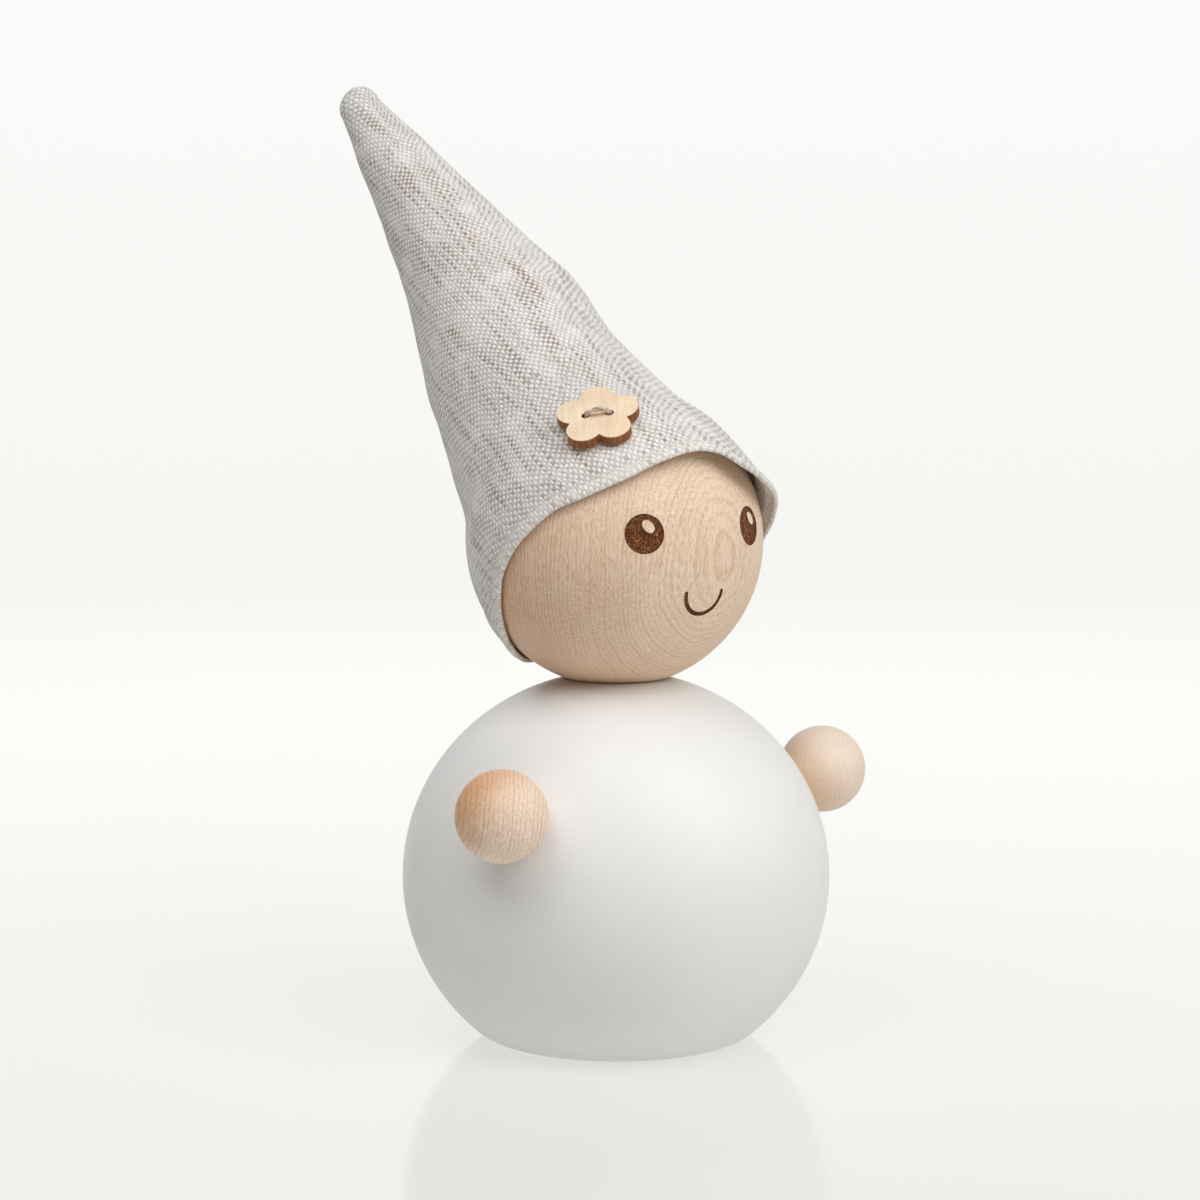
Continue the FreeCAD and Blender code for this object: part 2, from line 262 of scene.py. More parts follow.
def turned_piece(name, profile, steps):
    """A piece turned on the lathe: its profile of (out, up) points is spun about the Z axis."""
    clear_selection()
    out, up = profile[0]
    bpy.ops.mesh.primitive_plane_add(size=0.001, location=(out, 0, up))
    piece = settle(named(bpy.context.object, name))
    edit_all()
    bpy.ops.mesh.merge(type="CENTER")
    for (out, up), (next_out, next_up) in zip(profile, profile[1:]):
        extrude(next_out - out, 0, next_up - up)
    bpy.ops.mesh.select_all(action="SELECT")
    bpy.ops.mesh.spin(steps=steps, angle=2 * math.pi, center=(0, 0, 0), axis=(0, 0, 1))
    bpy.ops.mesh.select_all(action="SELECT")
    bpy.ops.mesh.remove_doubles(threshold=SAME_PLACE)
    close_mesh()
    return piece


def arc(centre_out, centre_up, radius, first, last, count, squash=1.0):
    """Points of an arc in the lathe's profile, from one angle to another in radians above the horizontal."""
    points = []
    for number in range(count + 1):
        angle = first + (last - first) * number / count
        points.append((centre_out + radius * math.cos(angle), centre_up + radius * squash * math.sin(angle)))
    return points


def prism(name, radius, sides, length, place, stretch=(1, 1)):
    """A straight-sided plug: its end face is drawn, stretched and pulled out along its own Z."""
    clear_selection()
    bpy.ops.mesh.primitive_circle_add(vertices=sides, radius=radius, fill_type="NGON")
    piece = named(bpy.context.object, name)
    edit_all()
    bpy.ops.transform.resize(value=(stretch[0], stretch[1], 1))
    extrude(0, 0, length)
    close_mesh()
    return settle(piece, place)


def carve(piece, cutter, operation="DIFFERENCE"):
    """Cuts the cutter from the piece, or joins it on, and uses the cutter up."""
    pick(piece)
    modifier = piece.modifiers.new("Carve", "BOOLEAN")
    modifier.operation = operation
    modifier.solver = "EXACT"
    modifier.object = cutter
    bpy.ops.object.modifier_apply(modifier=modifier.name)
    bpy.data.objects.remove(cutter)
    return piece


def bevel_edges(piece, width, segments, limit):
    pick(piece)
    modifier = piece.modifiers.new("Edges", "BEVEL")
    modifier.width = width
    modifier.segments = segments
    modifier.limit_method = "ANGLE"
    modifier.angle_limit = math.radians(limit)
    modifier.harden_normals = False
    bpy.ops.object.modifier_apply(modifier=modifier.name)
    return piece


def smooth(piece, limit=30):
    pick(piece)
    bpy.ops.object.shade_smooth_by_angle(angle=math.radians(limit))
    return piece


def axes_matrix(right, up, out, origin):
    """The matrix that takes a piece's own X, Y and Z to these directions at this origin."""
    return Matrix.Translation(origin) @ Matrix((right, up, out)).transposed().to_4x4()


def piece_of(mesh, name):
    """Makes a piece of a built mesh, its faces turned outwards, and picks it."""
    bmesh.ops.recalc_face_normals(mesh, faces=mesh.faces)
    data = bpy.data.meshes.new(name)
    mesh.to_mesh(data)
    mesh.free()
    piece = bpy.data.objects.new(name, data)
    bpy.context.scene.collection.objects.link(piece)
    return pick(piece)


def shade_smooth(piece):
    for polygon in piece.data.polygons:
        polygon.use_smooth = True


def joined(pieces, name):
    clear_selection()
    for piece in pieces:
        piece.select_set(True)
    bpy.context.view_layer.objects.active = pieces[0]
    bpy.ops.object.join()
    return named(bpy.context.object, name)


# ---------------------------------------------------------------- helpers for materials

def put(tree, kind, *inputs, **settings):
    """Adds a node; inputs are sockets or values for its sockets in order, None leaves one alone."""
    node = tree.nodes.new(kind)
    for name, value in settings.items():
        setattr(node, name, value)
    for socket, value in zip(node.inputs, inputs):
        feed(tree, socket, value)
    return node


def feed(tree, socket, value):
    if isinstance(value, bpy.types.NodeSocket):
        tree.links.new(value, socket)
    elif value is not None:
        socket.default_value = value


def maths(tree, operation, *inputs):
    return put(tree, "ShaderNodeMath", *inputs, operation=operation).outputs[0]


def vector_maths(tree, operation, *inputs):
    return put(tree, "ShaderNodeVectorMath", *inputs, operation=operation).outputs[0]


def ramp(tree, value, low, high, to_low=0.0, to_high=1.0):
    """Smoothly from to_low to to_high as the value goes from low to high."""
    return put(tree, "ShaderNodeMapRange", value, low, high, to_low, to_high,
               interpolation_type="SMOOTHSTEP").outputs[0]


def noise_at(tree, where, scale, detail=2.0, roughness=0.5):
    return put(tree, "ShaderNodeTexNoise", where, None, scale, detail, roughness).outputs[0]


def point_of(tree, x, y, z):
    return put(tree, "ShaderNodeCombineXYZ", x, y, z).outputs[0]


def own_place(tree):
    """The place on the piece, in metres."""
    return put(tree, "ShaderNodeTexCoord").outputs["Object"]


def in_frame(tree, where, origin, angles):
    """The same place measured from another origin and along turned directions."""
    mapping = put(tree, "ShaderNodeMapping", where, vector_type="TEXTURE")
    mapping.inputs["Location"].default_value = origin
    mapping.inputs["Rotation"].default_value = angles
    return mapping.outputs[0]


def stretched(tree, where, x, y, z):
    return vector_maths(tree, "MULTIPLY", where, (x, y, z))


def blended(tree, share, first, second, blend="MIX"):
    """One colour over another by a share."""
    node = tree.nodes.new("ShaderNodeMix")
    node.data_type = "RGBA"
    node.blend_type = blend
    feed(tree, node.inputs[0], share)
    feed(tree, node.inputs[6], first)
    feed(tree, node.inputs[7], second)
    return node.outputs[2]


def new_group(name, inputs, outputs):
    """An empty shader group with the named sockets, and its input and output nodes."""
    tree = bpy.data.node_groups.new(name, "ShaderNodeTree")
    for socket_name, kind, default in inputs:
        socket = tree.interface.new_socket(socket_name, in_out="INPUT", socket_type=kind)
        if default is not None:
            socket.default_value = default
    for socket_name, kind in outputs:
        tree.interface.new_socket(socket_name, in_out="OUTPUT", socket_type=kind)
    return tree, tree.nodes.new("NodeGroupInput").outputs, tree.nodes.new("NodeGroupOutput").inputs


def grain_group():
    """Maple in millimetres: growth rings round a pith line along Z, fine fibres and short ray flecks."""
    if "Maple Grain" in bpy.data.node_groups:
        return bpy.data.node_groups["Maple Grain"]
    tree, given, result = new_group(
        "Maple Grain",
        [("Vector", "NodeSocketVector", None), ("Ring Width", "NodeSocketFloat", 0.8),
         ("Ring Strength", "NodeSocketFloat", 0.4), ("Fibre Strength", "NodeSocketFloat", 0.3),
         ("Pale", "NodeSocketColor", None), ("Ring", "NodeSocketColor", None)],
        [("Color", "NodeSocketColor"), ("Height", "NodeSocketFloat")])
    where = vector_maths(tree, "SCALE", given["Vector"])
    where.node.inputs["Scale"].default_value = 1000.0
    drift = noise_at(tree, stretched(tree, where, 1, 1, 0.5), 0.09, 2.0)
    ripple = noise_at(tree, stretched(tree, where, 1, 1, 0.35), 0.5, 2.0)
    split = put(tree, "ShaderNodeSeparateXYZ", where).outputs
    out = maths(tree, "SQRT", maths(tree, "ADD", maths(tree, "MULTIPLY", split[0], split[0]),
                                    maths(tree, "MULTIPLY", split[1], split[1])))
    out = maths(tree, "MULTIPLY_ADD", drift, 2.6, out)
    out = maths(tree, "MULTIPLY_ADD", ripple, 0.3, out)
    ring = maths(tree, "DIVIDE", out, given["Ring Width"])
    part = maths(tree, "FRACT", ring)
    year = put(tree, "ShaderNodeTexWhiteNoise", None, maths(tree, "FLOOR", ring), noise_dimensions="1D")
    late = maths(tree, "MULTIPLY", ramp(tree, part, 0.35, 0.9), ramp(tree, part, 0.92, 1.0, 1.0, 0.0))
    late = maths(tree, "MULTIPLY", late, ramp(tree, year.outputs[0], 0.0, 1.0, 0.35, 1.0))
    late = maths(tree, "MULTIPLY", late, given["Ring Strength"])
    fibre = noise_at(tree, stretched(tree, where, 1, 1, 0.16), 4.6, 3.0, 0.7)
    fleck = noise_at(tree, stretched(tree, where, 1, 1, 0.2), 6.5, 1.0, 0.5)
    fleck = ramp(tree, fleck, 0.6, 0.75)
    patch = noise_at(tree, stretched(tree, where, 1, 1, 0.4), 0.09, 2.0)
    fibre_share = maths(tree, "MULTIPLY", ramp(tree, fibre, 0.32, 0.72), given["Fibre Strength"])
    shade = maths(tree, "ADD", late, fibre_share)
    shade = maths(tree, "MULTIPLY_ADD", ramp(tree, patch, 0.3, 0.7), 0.16, shade)
    shade = maths(tree, "MULTIPLY_ADD", fleck, 0.14, shade)
    wood = blended(tree, maths(tree, "MINIMUM", shade, 1.0), given["Pale"], given["Ring"])
    feed(tree, result["Color"], wood)
    height = maths(tree, "MULTIPLY_ADD", late, -0.5, maths(tree, "MULTIPLY", fibre, 0.8))
    feed(tree, result["Height"], maths(tree, "MULTIPLY_ADD", fleck, -0.3, height))
    return tree


def weave_group():
    """Plain linen weave.  The vector is the place in the flat cloth, in millimetres, warp along Y."""
    if "Linen Weave" in bpy.data.node_groups:
        return bpy.data.node_groups["Linen Weave"]
    tree, given, result = new_group(
        "Linen Weave",
        [("Vector", "NodeSocketVector", None), ("Pitch", "NodeSocketFloat", 0.46),
         ("Weft", "NodeSocketColor", None), ("Warp", "NodeSocketColor", None),
         ("Natural", "NodeSocketColor", None), ("Gap", "NodeSocketColor", None)],
        [("Color", "NodeSocketColor"), ("Height", "NodeSocketFloat")])
    flat = given["Vector"]
    moved = flat
    for scale, detail, reach in ((0.16, 2.0, 1.5), (0.9, 1.0, 0.45)):
        way = put(tree, "ShaderNodeTexNoise", flat, None, scale, detail, 0.5).outputs[1]
        way = vector_maths(tree, "SUBTRACT", way, (0.5, 0.5, 0.5))
        moved = vector_maths(tree, "MULTIPLY_ADD", way, (reach, reach, 0), moved)
    split = put(tree, "ShaderNodeSeparateXYZ", moved).outputs
    across = maths(tree, "DIVIDE", split[0], given["Pitch"])
    along = maths(tree, "DIVIDE", split[1], maths(tree, "MULTIPLY", given["Pitch"], 1.06))
    warp_thread = maths(tree, "FLOOR", across)
    weft_thread = maths(tree, "FLOOR", along)
    over = maths(tree, "FLOORED_MODULO", maths(tree, "ADD", warp_thread, weft_thread), 2.0)
    from_warp = maths(tree, "SUBTRACT", maths(tree, "FRACT", across), 0.5)
    from_weft = maths(tree, "SUBTRACT", maths(tree, "FRACT", along), 0.5)

    def either(warp_value, weft_value):
        """The warp's value where the warp lies on top, else the weft's."""
        node = put(tree, "ShaderNodeMix", over, data_type="FLOAT")
        feed(tree, node.inputs[2], warp_value)
        feed(tree, node.inputs[3], weft_value)
        return node.outputs[0]

    side = either(from_warp, from_weft)
    lengthways = either(from_weft, from_warp)
    thread = either(warp_thread, maths(tree, "ADD", weft_thread, 571.0))
    run = either(split[1], split[0])
    warp_place = point_of(tree, maths(tree, "MULTIPLY", warp_thread, 0.53),
                          maths(tree, "MULTIPLY", split[1], 0.06), 0.0)
    warp_streak = ramp(tree, noise_at(tree, warp_place, 1.0, 2.0, 0.45), 0.4, 0.72, 0.05, 0.92)
    weft_place = point_of(tree, maths(tree, "MULTIPLY", split[0], 0.085),
                          maths(tree, "MULTIPLY", weft_thread, 0.9), 5.0)
    weft_streak = ramp(tree, noise_at(tree, weft_place, 1.0, 2.0, 0.6), 0.54, 0.75, 0.0, 0.3)
    fat_place = point_of(tree, maths(tree, "MULTIPLY", thread, 3.77), maths(tree, "MULTIPLY", run, 0.3), 9.0)
    fat = noise_at(tree, fat_place, 1.0, 1.0, 0.5)
    slim = maths(tree, "ADD", ramp(tree, fat, 0.25, 0.75, 0.25, -0.25), either(2.2, 1.55))
    edge = maths(tree, "MULTIPLY", side, slim)
    inside = maths(tree, "SUBTRACT", 1.0, maths(tree, "MULTIPLY", edge, edge))
    roundness = maths(tree, "SQRT", maths(tree, "MAXIMUM", inside, 0.0))
    crown = maths(tree, "COSINE", maths(tree, "MULTIPLY", lengthways, 2.45))
    height = maths(tree, "MULTIPLY", maths(tree, "MULTIPLY", roundness, crown), either(0.66, 1.0))
    fibre_place = point_of(tree, maths(tree, "MULTIPLY", side, 11.0),
                           maths(tree, "MULTIPLY", run, 1.8), thread)
    fibres = noise_at(tree, fibre_place, 1.0, 2.0, 0.6)
    patch = noise_at(tree, stretched(tree, flat, 1.0, 0.55, 1.0), 0.1, 3.0, 0.6)
    on_weft = maths(tree, "MULTIPLY_ADD", warp_streak, 0.16, weft_streak)
    brown = maths(tree, "MULTIPLY_ADD", ramp(tree, patch, 0.35, 0.7), 0.14, either(warp_streak, on_weft))
    brown = maths(tree, "MULTIPLY_ADD", ramp(tree, fibres, 0.45, 0.8), 0.2, brown)
    brown = maths(tree, "MINIMUM", brown, 1.0)
    speck = noise_at(tree, stretched(tree, flat, 0.35, 1.3, 1.0), 0.8, 1.0, 0.5)
    speck = ramp(tree, speck, 0.765, 0.8)
    fluffy = ramp(tree, noise_at(tree, flat, 0.13, 2.0, 0.6), 0.52, 0.68, 0.0, 0.65)
    brown = maths(tree, "MULTIPLY", brown, maths(tree, "SUBTRACT", 1.0, fluffy))
    thread_colour = blended(tree, brown, blended(tree, over, given["Warp"], given["Weft"]), given["Natural"])
    # Painted shade in the hollows between the threads, browner under the natural streaks, covered where fluff
    # lies, and shown where the weave lies low
    gap_shade = blended(tree, maths(tree, "MULTIPLY", warp_streak, 0.85), given["Gap"],
                   blended(tree, 1.0, given["Natural"], screen(205, 198, 190), "MULTIPLY"))
    gap_shade = blended(tree, fluffy, gap_shade, given["Warp"])
    cloth_colour = blended(tree, ramp(tree, height, 0.0, 0.5), gap_shade, thread_colour)
    cloth_colour = blended(tree, maths(tree, "MULTIPLY", speck, 0.75), cloth_colour, screen(96, 74, 60))
    feed(tree, result["Color"], cloth_colour)
    feed(tree, result["Height"], maths(tree, "MULTIPLY_ADD", fibres, 0.15, height))
    return tree


def new_material(name, roughness, **sockets):
    """A node material with only its Principled shader and output."""
    material = bpy.data.materials.new(name)
    material.use_nodes = True
    tree = material.node_tree
    shader = tree.nodes["Principled BSDF"]
    shader.inputs["Roughness"].default_value = roughness
    for socket, value in sockets.items():
        shader.inputs[socket.replace("_", " ")].default_value = value
    return material, tree, shader


def bumped(tree, shader, height, distance, strength=1.0):
    bump = put(tree, "ShaderNodeBump")
    bump.inputs["Strength"].default_value = strength
    bump.inputs["Distance"].default_value = distance
    feed(tree, bump.inputs["Height"], height)
    feed(tree, shader.inputs["Normal"], bump.outputs[0])
    return bump


def group_node(tree, group, **values):
    node = put(tree, "ShaderNodeGroup", node_tree=group)
    for name, value in values.items():
        feed(tree, node.inputs[name.replace("_", " ")], value)
    return node


def maple(name, pith, tilt, pale, ring, ring_width, ring_strength, fibre_strength, heart_and_shade=None):
    """Fine sanded maple.  The pith is a point on the rings' middle line, and tilt turns that line from Z.

    The heart_and_shade is (centre, direction over its reach, tint): wood that grows browner that way, partly
    the wood's own colour and partly painted shade where less light falls."""
    material, tree, shader = new_material(name, 0.52)
    place = own_place(tree)
    grain = group_node(tree, grain_group(), Vector=in_frame(tree, place, pith, tilt), Ring_Width=ring_width,
                       Ring_Strength=ring_strength, Fibre_Strength=fibre_strength, Pale=pale, Ring=ring)
    wood = grain.outputs["Color"]
    if heart_and_shade:
        centre, direction, tint = heart_and_shade
        # Painted shade in part: the wood is tinted browner and darker towards one side, for browner wood and
        # for the shade that falls there
        out = vector_maths(tree, "SUBTRACT", place, centre)
        along = put(tree, "ShaderNodeVectorMath", out, direction, operation="DOT_PRODUCT").outputs["Value"]
        along = maths(tree, "MULTIPLY_ADD", noise_at(tree, place, 260.0, 3.0, 0.6), 0.5, along)
        wood = blended(tree, ramp(tree, along, 0.1, 1.25), wood, blended(tree, 1.0, wood, tint, "MULTIPLY"))
    feed(tree, shader.inputs["Base Color"], wood)
    feed(tree, shader.inputs["Roughness"], ramp(tree, grain.outputs["Height"], 0.0, 0.9, 0.58, 0.44))
    bumped(tree, shader, grain.outputs["Height"], 0.00004, 0.6)
    return material


def burned_wood():
    """The laser-burned marks: dark brown with lighter specks where the fibres stand."""
    if "Burned Maple" in bpy.data.materials:
        return bpy.data.materials["Burned Maple"]
    material, tree, shader = new_material("Burned Maple", 0.8, Specular_IOR_Level=0.2)
    where = own_place(tree)
    specks = noise_at(tree, stretched(tree, where, 1, 1, 0.8), 3600.0, 2.0, 0.7)
    cloud = noise_at(tree, where, 420.0, 2.0, 0.5)
    share = maths(tree, "MULTIPLY", ramp(tree, specks, 0.46, 0.66), ramp(tree, cloud, 0.3, 0.7, 0.3, 0.9))
    feed(tree, shader.inputs["Base Color"], blended(tree, share, screen(80, 42, 19), screen(196, 134, 84)))
    bumped(tree, shader, specks, 0.00008, 0.8)
    return material


def matt_paint(colour_value):
    """Sprayed matt paint, with the wood just felt under it."""
    material, tree, shader = new_material("Matt White Paint", 0.5)
    where = own_place(tree)
    cloud = noise_at(tree, where, 60.0, 3.0, 0.5)
    grit = noise_at(tree, where, 2600.0, 2.0, 0.6)
    pores = noise_at(tree, stretched(tree, where, 1.0, 1.0, 0.08), 1500.0, 2.0, 0.6)
    shade = tuple(channel * 0.955 for channel in colour_value[:3]) + (1.0,)
    share = maths(tree, "MULTIPLY", ramp(tree, cloud, 0.3, 0.7), 0.5)
    share = maths(tree, "MULTIPLY_ADD", ramp(tree, grit, 0.45, 0.75), 0.25, share)
    feed(tree, shader.inputs["Base Color"], blended(tree, share, tuple(colour_value), shade))
    feed(tree, shader.inputs["Roughness"], ramp(tree, cloud, 0.25, 0.75, 0.42, 0.54))
    bumped(tree, shader, maths(tree, "MULTIPLY_ADD", pores, 0.8, grit), 0.000018, 0.5)
    return material


def linen(props):
    """The hat's cloth, its weave laid out by the cloth's own UV map, brought back to millimetres."""
    material, tree, shader = new_material("Hat Linen", 0.85)
    shader.inputs["Sheen Weight"].default_value = 0.3
    shader.inputs["Subsurface Weight"].default_value = 0.3
    shader.inputs["Subsurface Radius"].default_value = (1.0, 0.92, 0.85)
    shader.inputs["Subsurface Scale"].default_value = 0.0006
    shader.inputs["Sheen Roughness"].default_value = 0.5
    shader.inputs["Specular IOR Level"].default_value = 0.25
    flat = put(tree, "ShaderNodeUVMap", uv_map="Cloth").outputs[0]
    flat = stretched(tree, flat, FLAT_UNIT, FLAT_UNIT, FLAT_UNIT)
    weave = group_node(tree, weave_group(), Vector=flat, Pitch=props.pitch * 1000, Weft=tuple(props.weft),
                       Warp=tuple(props.warp), Natural=tuple(props.natural), Gap=tuple(props.gap))
    apex = (FLAT_UNIT / 2, FLAT_UNIT, 0.0)
    to_apex = put(tree, "ShaderNodeVectorMath", flat, apex, operation="DISTANCE").outputs["Value"]
    hem = ramp(tree, to_apex, *HEM_BAND, 0.0, 0.4)
    feed(tree, shader.inputs["Base Color"], blended(tree, hem, weave.outputs["Color"], screen(250, 244, 236)))
    feed(tree, shader.inputs["Roughness"], ramp(tree, weave.outputs["Height"], 0.0, 1.0, 0.95, 0.72))
    bumped(tree, shader, weave.outputs["Height"], 0.00016, 0.85)
    return material


def sewing_thread(name, light, dark, scale):
    """Spun thread: fine fibres lengthways and a little mottling."""
    material, tree, shader = new_material(name, 0.8)
    shader.inputs["Sheen Weight"].default_value = 0.2
    where = own_place(tree)
    fibre = noise_at(tree, where, scale, 3.0, 0.7)
    wave = noise_at(tree, where, scale * 0.25, 1.0, 0.5)
    share = maths(tree, "MULTIPLY", ramp(tree, fibre, 0.35, 0.7), 0.65)
    share = maths(tree, "MULTIPLY_ADD", ramp(tree, wave, 0.3, 0.7), 0.35, share)
    feed(tree, shader.inputs["Base Color"], blended(tree, share, light, dark))
    bumped(tree, shader, fibre, 0.00006, 0.8)
    return material


def button_axes():
    """The button's right, up and outward directions: its up is as near the hat's axis as it can lie."""
    head = bpy.context.scene.tomte_head
    level = math.cos(BUTTON_RISE)
    out = Vector((level * math.sin(BUTTON_AZIMUTH), -level * math.cos(BUTTON_AZIMUTH), math.sin(BUTTON_RISE)))
    axis = Matrix.Rotation(head.turned, 3, "Z") @ Matrix.Rotation(head.rolled, 3, "Y") @ HAT_AXIS
    up = (axis - out * axis.dot(out)).normalized()
    return up.cross(out), up, out


def on_button(tree, turn=0.0):
    """The place in the button's own frame, turned about its middle."""
    angles = (axes_matrix(*button_axes(), Vector()) @ Matrix.Rotation(turn, 4, "Z")).to_euler()
    return in_frame(tree, own_place(tree), BUTTON_BACK * MM, angles)


def birch_ply(props):
    """The button's pale face, with faint grain lines and browner patches; the scorching near the cut is the
    edge's own material.
    """
    material, tree, shader = new_material("Birch Face", 0.5)
    own = on_button(tree, BUTTON_GRAIN_TURN)
    lines = noise_at(tree, stretched(tree, own, 1.0, 0.06, 1.0), 1500.0, 3.0, 0.65)
    fibre = noise_at(tree, stretched(tree, own, 1.0, 0.12, 1.0), 5200.0, 2.0, 0.6)
    patch = noise_at(tree, own, 190.0, 2.0, 0.5)
    share = maths(tree, "MULTIPLY", ramp(tree, lines, 0.4, 0.72), 0.3)
    share = maths(tree, "MULTIPLY_ADD", ramp(tree, fibre, 0.5, 0.8), 0.25, share)
    share = maths(tree, "MULTIPLY_ADD", ramp(tree, patch, 0.35, 0.7), 0.25, share)
    feed(tree, shader.inputs["Base Color"], blended(tree, share, tuple(props.birch), screen(220, 178, 130)))
    bumped(tree, shader, lines, 0.00003, 0.7)
    return material


def scorched_ply(props):
    """The button's laser-cut edge: three browned layers with dark glue lines and streaks across them."""
    material, tree, shader = new_material("Scorched Edge", 0.6)
    own = on_button(tree)
    through = put(tree, "ShaderNodeSeparateXYZ", own).outputs[2]
    ply = maths(tree, "PINGPONG", maths(tree, "DIVIDE", through, props.thickness / 3), 0.5)
    glue = ramp(tree, ply, 0.0, 0.14, 1.0, 0.0)
    streaks = noise_at(tree, stretched(tree, own, 1.0, 1.0, 0.12), 2300.0, 3.0, 0.6)
    cloud = noise_at(tree, own, 600.0, 2.0, 0.5)
    light = maths(tree, "MULTIPLY", ramp(tree, streaks, 0.42, 0.7), ramp(tree, cloud, 0.3, 0.7, 0.4, 1.0))
    top = blended(tree, light, tuple(props.scorch), screen(196, 126, 62))
    edge = blended(tree, maths(tree, "MULTIPLY", glue, 0.7), top, screen(58, 32, 14))
    feed(tree, shader.inputs["Base Color"], edge)
    bumped(tree, shader, streaks, 0.00005, 0.8)
    return material


# ---------------------------------------------------------------- hat's shape

RISE = math.radians(46.0)
HAT_AXIS = Vector((0, math.cos(RISE), math.sin(RISE)))
HAT_FRONT = Vector((0, -math.sin(RISE), math.cos(RISE)))
HAT_SIDE = Vector((1, 0, 0))


def head_place(props):
    """Takes the head's own frame, in millimetres with the face towards -Y, to its place in metres."""
    return (Matrix.Rotation(props.turned, 4, "Z") @ Matrix.Translation((0, 0, props.centre_height))
            @ Matrix.Rotation(props.rolled, 4, "Y") @ Matrix.Scale(MM, 4))


def curve_through(knots, where):
    """Smooth value at a place along (place, value) knots, without overshoot between them."""
    if where <= knots[0][0]:
        return knots[0][1]
    for number in range(len(knots) - 1):
        if where <= knots[number + 1][0]:
            break
    else:
        return knots[-1][1]

    def slope(at):
        if at == 0 or at == len(knots) - 1:
            other = 1 if at == 0 else at - 1
            return (knots[other][1] - knots[at][1]) / (knots[other][0] - knots[at][0])
        before = (knots[at][1] - knots[at - 1][1]) / (knots[at][0] - knots[at - 1][0])
        after = (knots[at + 1][1] - knots[at][1]) / (knots[at + 1][0] - knots[at][0])
        return 0.0 if before * after <= 0 else 2 * before * after / (before + after)

    (low, low_value), (high, high_value) = knots[number], knots[number + 1]
    gap = high - low
    part = (where - low) / gap
    square, cube = part * part, part ** 3
    return ((2 * cube - 3 * square + 1) * low_value + (cube - 2 * square + part) * gap * slope(number)
            + (3 * square - 2 * cube) * high_value + (cube - square) * gap * slope(number + 1))


def smoothly(value, low, high):
    part = min(max((value - low) / (high - low), 0.0), 1.0)
    return part * part * (3 - 2 * part)


def rim_station(angle):
    return curve_through([(degrees, station) for degrees, station, radius in HAT_RIM], angle)


def hat_knots(angle):
    """(station, distance from the axis) of the outer surface at one angle, from the rim to the tip."""
    rim_radius = curve_through([(degrees, radius) for degrees, station, radius in HAT_RIM], angle)
    knots = [(rim_station(angle), rim_radius)]
    turn = math.radians(angle)
    for station, radius, side in HAT_SECTIONS:
        back = -HAT_SAG * (station / HAT_LENGTH) ** 2
        along = back * math.cos(turn) + side * math.sin(turn)
        knots.append((station, along + math.sqrt(radius ** 2 - back ** 2 - side ** 2 + along ** 2)))
    return knots


def soft_wave(angle, station):
    """Gentle dents and swells of the cloth, growing above the head where nothing holds it from inside."""
    turn = math.radians(angle)
    reach = max(4.0, 24.0 - 0.19 * station)
    place = Vector((math.cos(turn) * reach, math.sin(turn) * reach, station * 0.8))
    broad = noise.noise(place / 11.0 + Vector((3.1, 7.7, 1.9)))
    small = noise.noise(place / 4.6 + Vector((9.4, 2.2, 5.6)))
    free = 0.25 + 0.75 * smoothly(station, 14, 34)
    free *= 1 - 0.55 * smoothly(station, 92, 108)
    return free * (0.5 * broad + 0.16 * small)


def hat_out(angle, station, knots, clearance, head_radius):
    """Distance of the outer surface from the hat's axis, never nearer the head than the cloth under it."""
    out = curve_through(knots, station) + soft_wave(angle, station)
    ball = head_radius + clearance
    if abs(station) < ball:
        least = math.sqrt(ball ** 2 - station ** 2)
        gap = out - least
        out = least + (gap + math.sqrt(gap * gap + 0.12)) / 2
    return out


def hump(value, middle, width):
    return math.exp(-((value - middle) / width) ** 2)


def stitch_pull(above_rim, stitch_line):
    """The line of stitches draws the cloth in, and the fold swells a little below it."""
    return -0.16 * hump(above_rim, stitch_line, 0.42) + 0.34 * hump(above_rim, 1.0, 0.75)


def seam_pull(angle, above_rim):
    """The seam up the back draws the cloth in."""
    return 0.3 * hump(abs(angle), 180, 1.6) * smoothly(above_rim, 0.5, 4)


def hat_strip(angle, hat, head_radius):
    """One line of the cloth's middle surface, from the hem's inner edge round the fold and up to the tip.

    Gives (distance out from the axis, station along the axis, distance along the cloth from the fold)."""
    cloth = hat.cloth / MM
    hem = hat.hem / MM
    line = hat.stitch_line / MM
    layer = cloth * FOLD_ROOM
    rim = rim_station(angle)
    knots = hat_knots(angle)

    def middle(station, inset=0.0):
        above = station - rim
        one_layer = smoothly(above, hem - 0.6, hem + 1.6)
        clearance = HAT_GAP + cloth + (1 - one_layer) * layer
        out = hat_out(angle, station, knots, clearance, head_radius) + stitch_pull(above, line)
        return out - cloth / 2 - inset - seam_pull(angle, above)

    points = []
    for number in range(13):
        above = hem + (FOLD_TOP - hem) * number / 12
        points.append((middle(rim + above, layer), rim + above, -above))
    for number in range(1, 6):
        bend = math.pi * number / 6
        out = middle(rim + layer / 2) - layer / 2 - layer / 2 * math.cos(bend)
        points.append((out, rim + layer / 2 * (1 - math.sin(bend)), 0.12 * (number - 3)))
    # Near the rim the weave follows the uneven edge, and towards the tip it lies level
    count = 178
    for number in range(count + 1):
        station = rim + FOLD_TOP + (TIP_STATION - rim - FOLD_TOP) * number / count
        level = smoothly(station, 10, 70)
        points.append((middle(station), station, station - rim * (1 - level) + FLAT_TIP_SHIFT * level))
    return points


def hat_vertex(out, station, angle):
    turn = math.radians(angle)
    spoke = HAT_FRONT * math.cos(turn) + HAT_SIDE * math.sin(turn)
    return HAT_AXIS * station + spoke * out


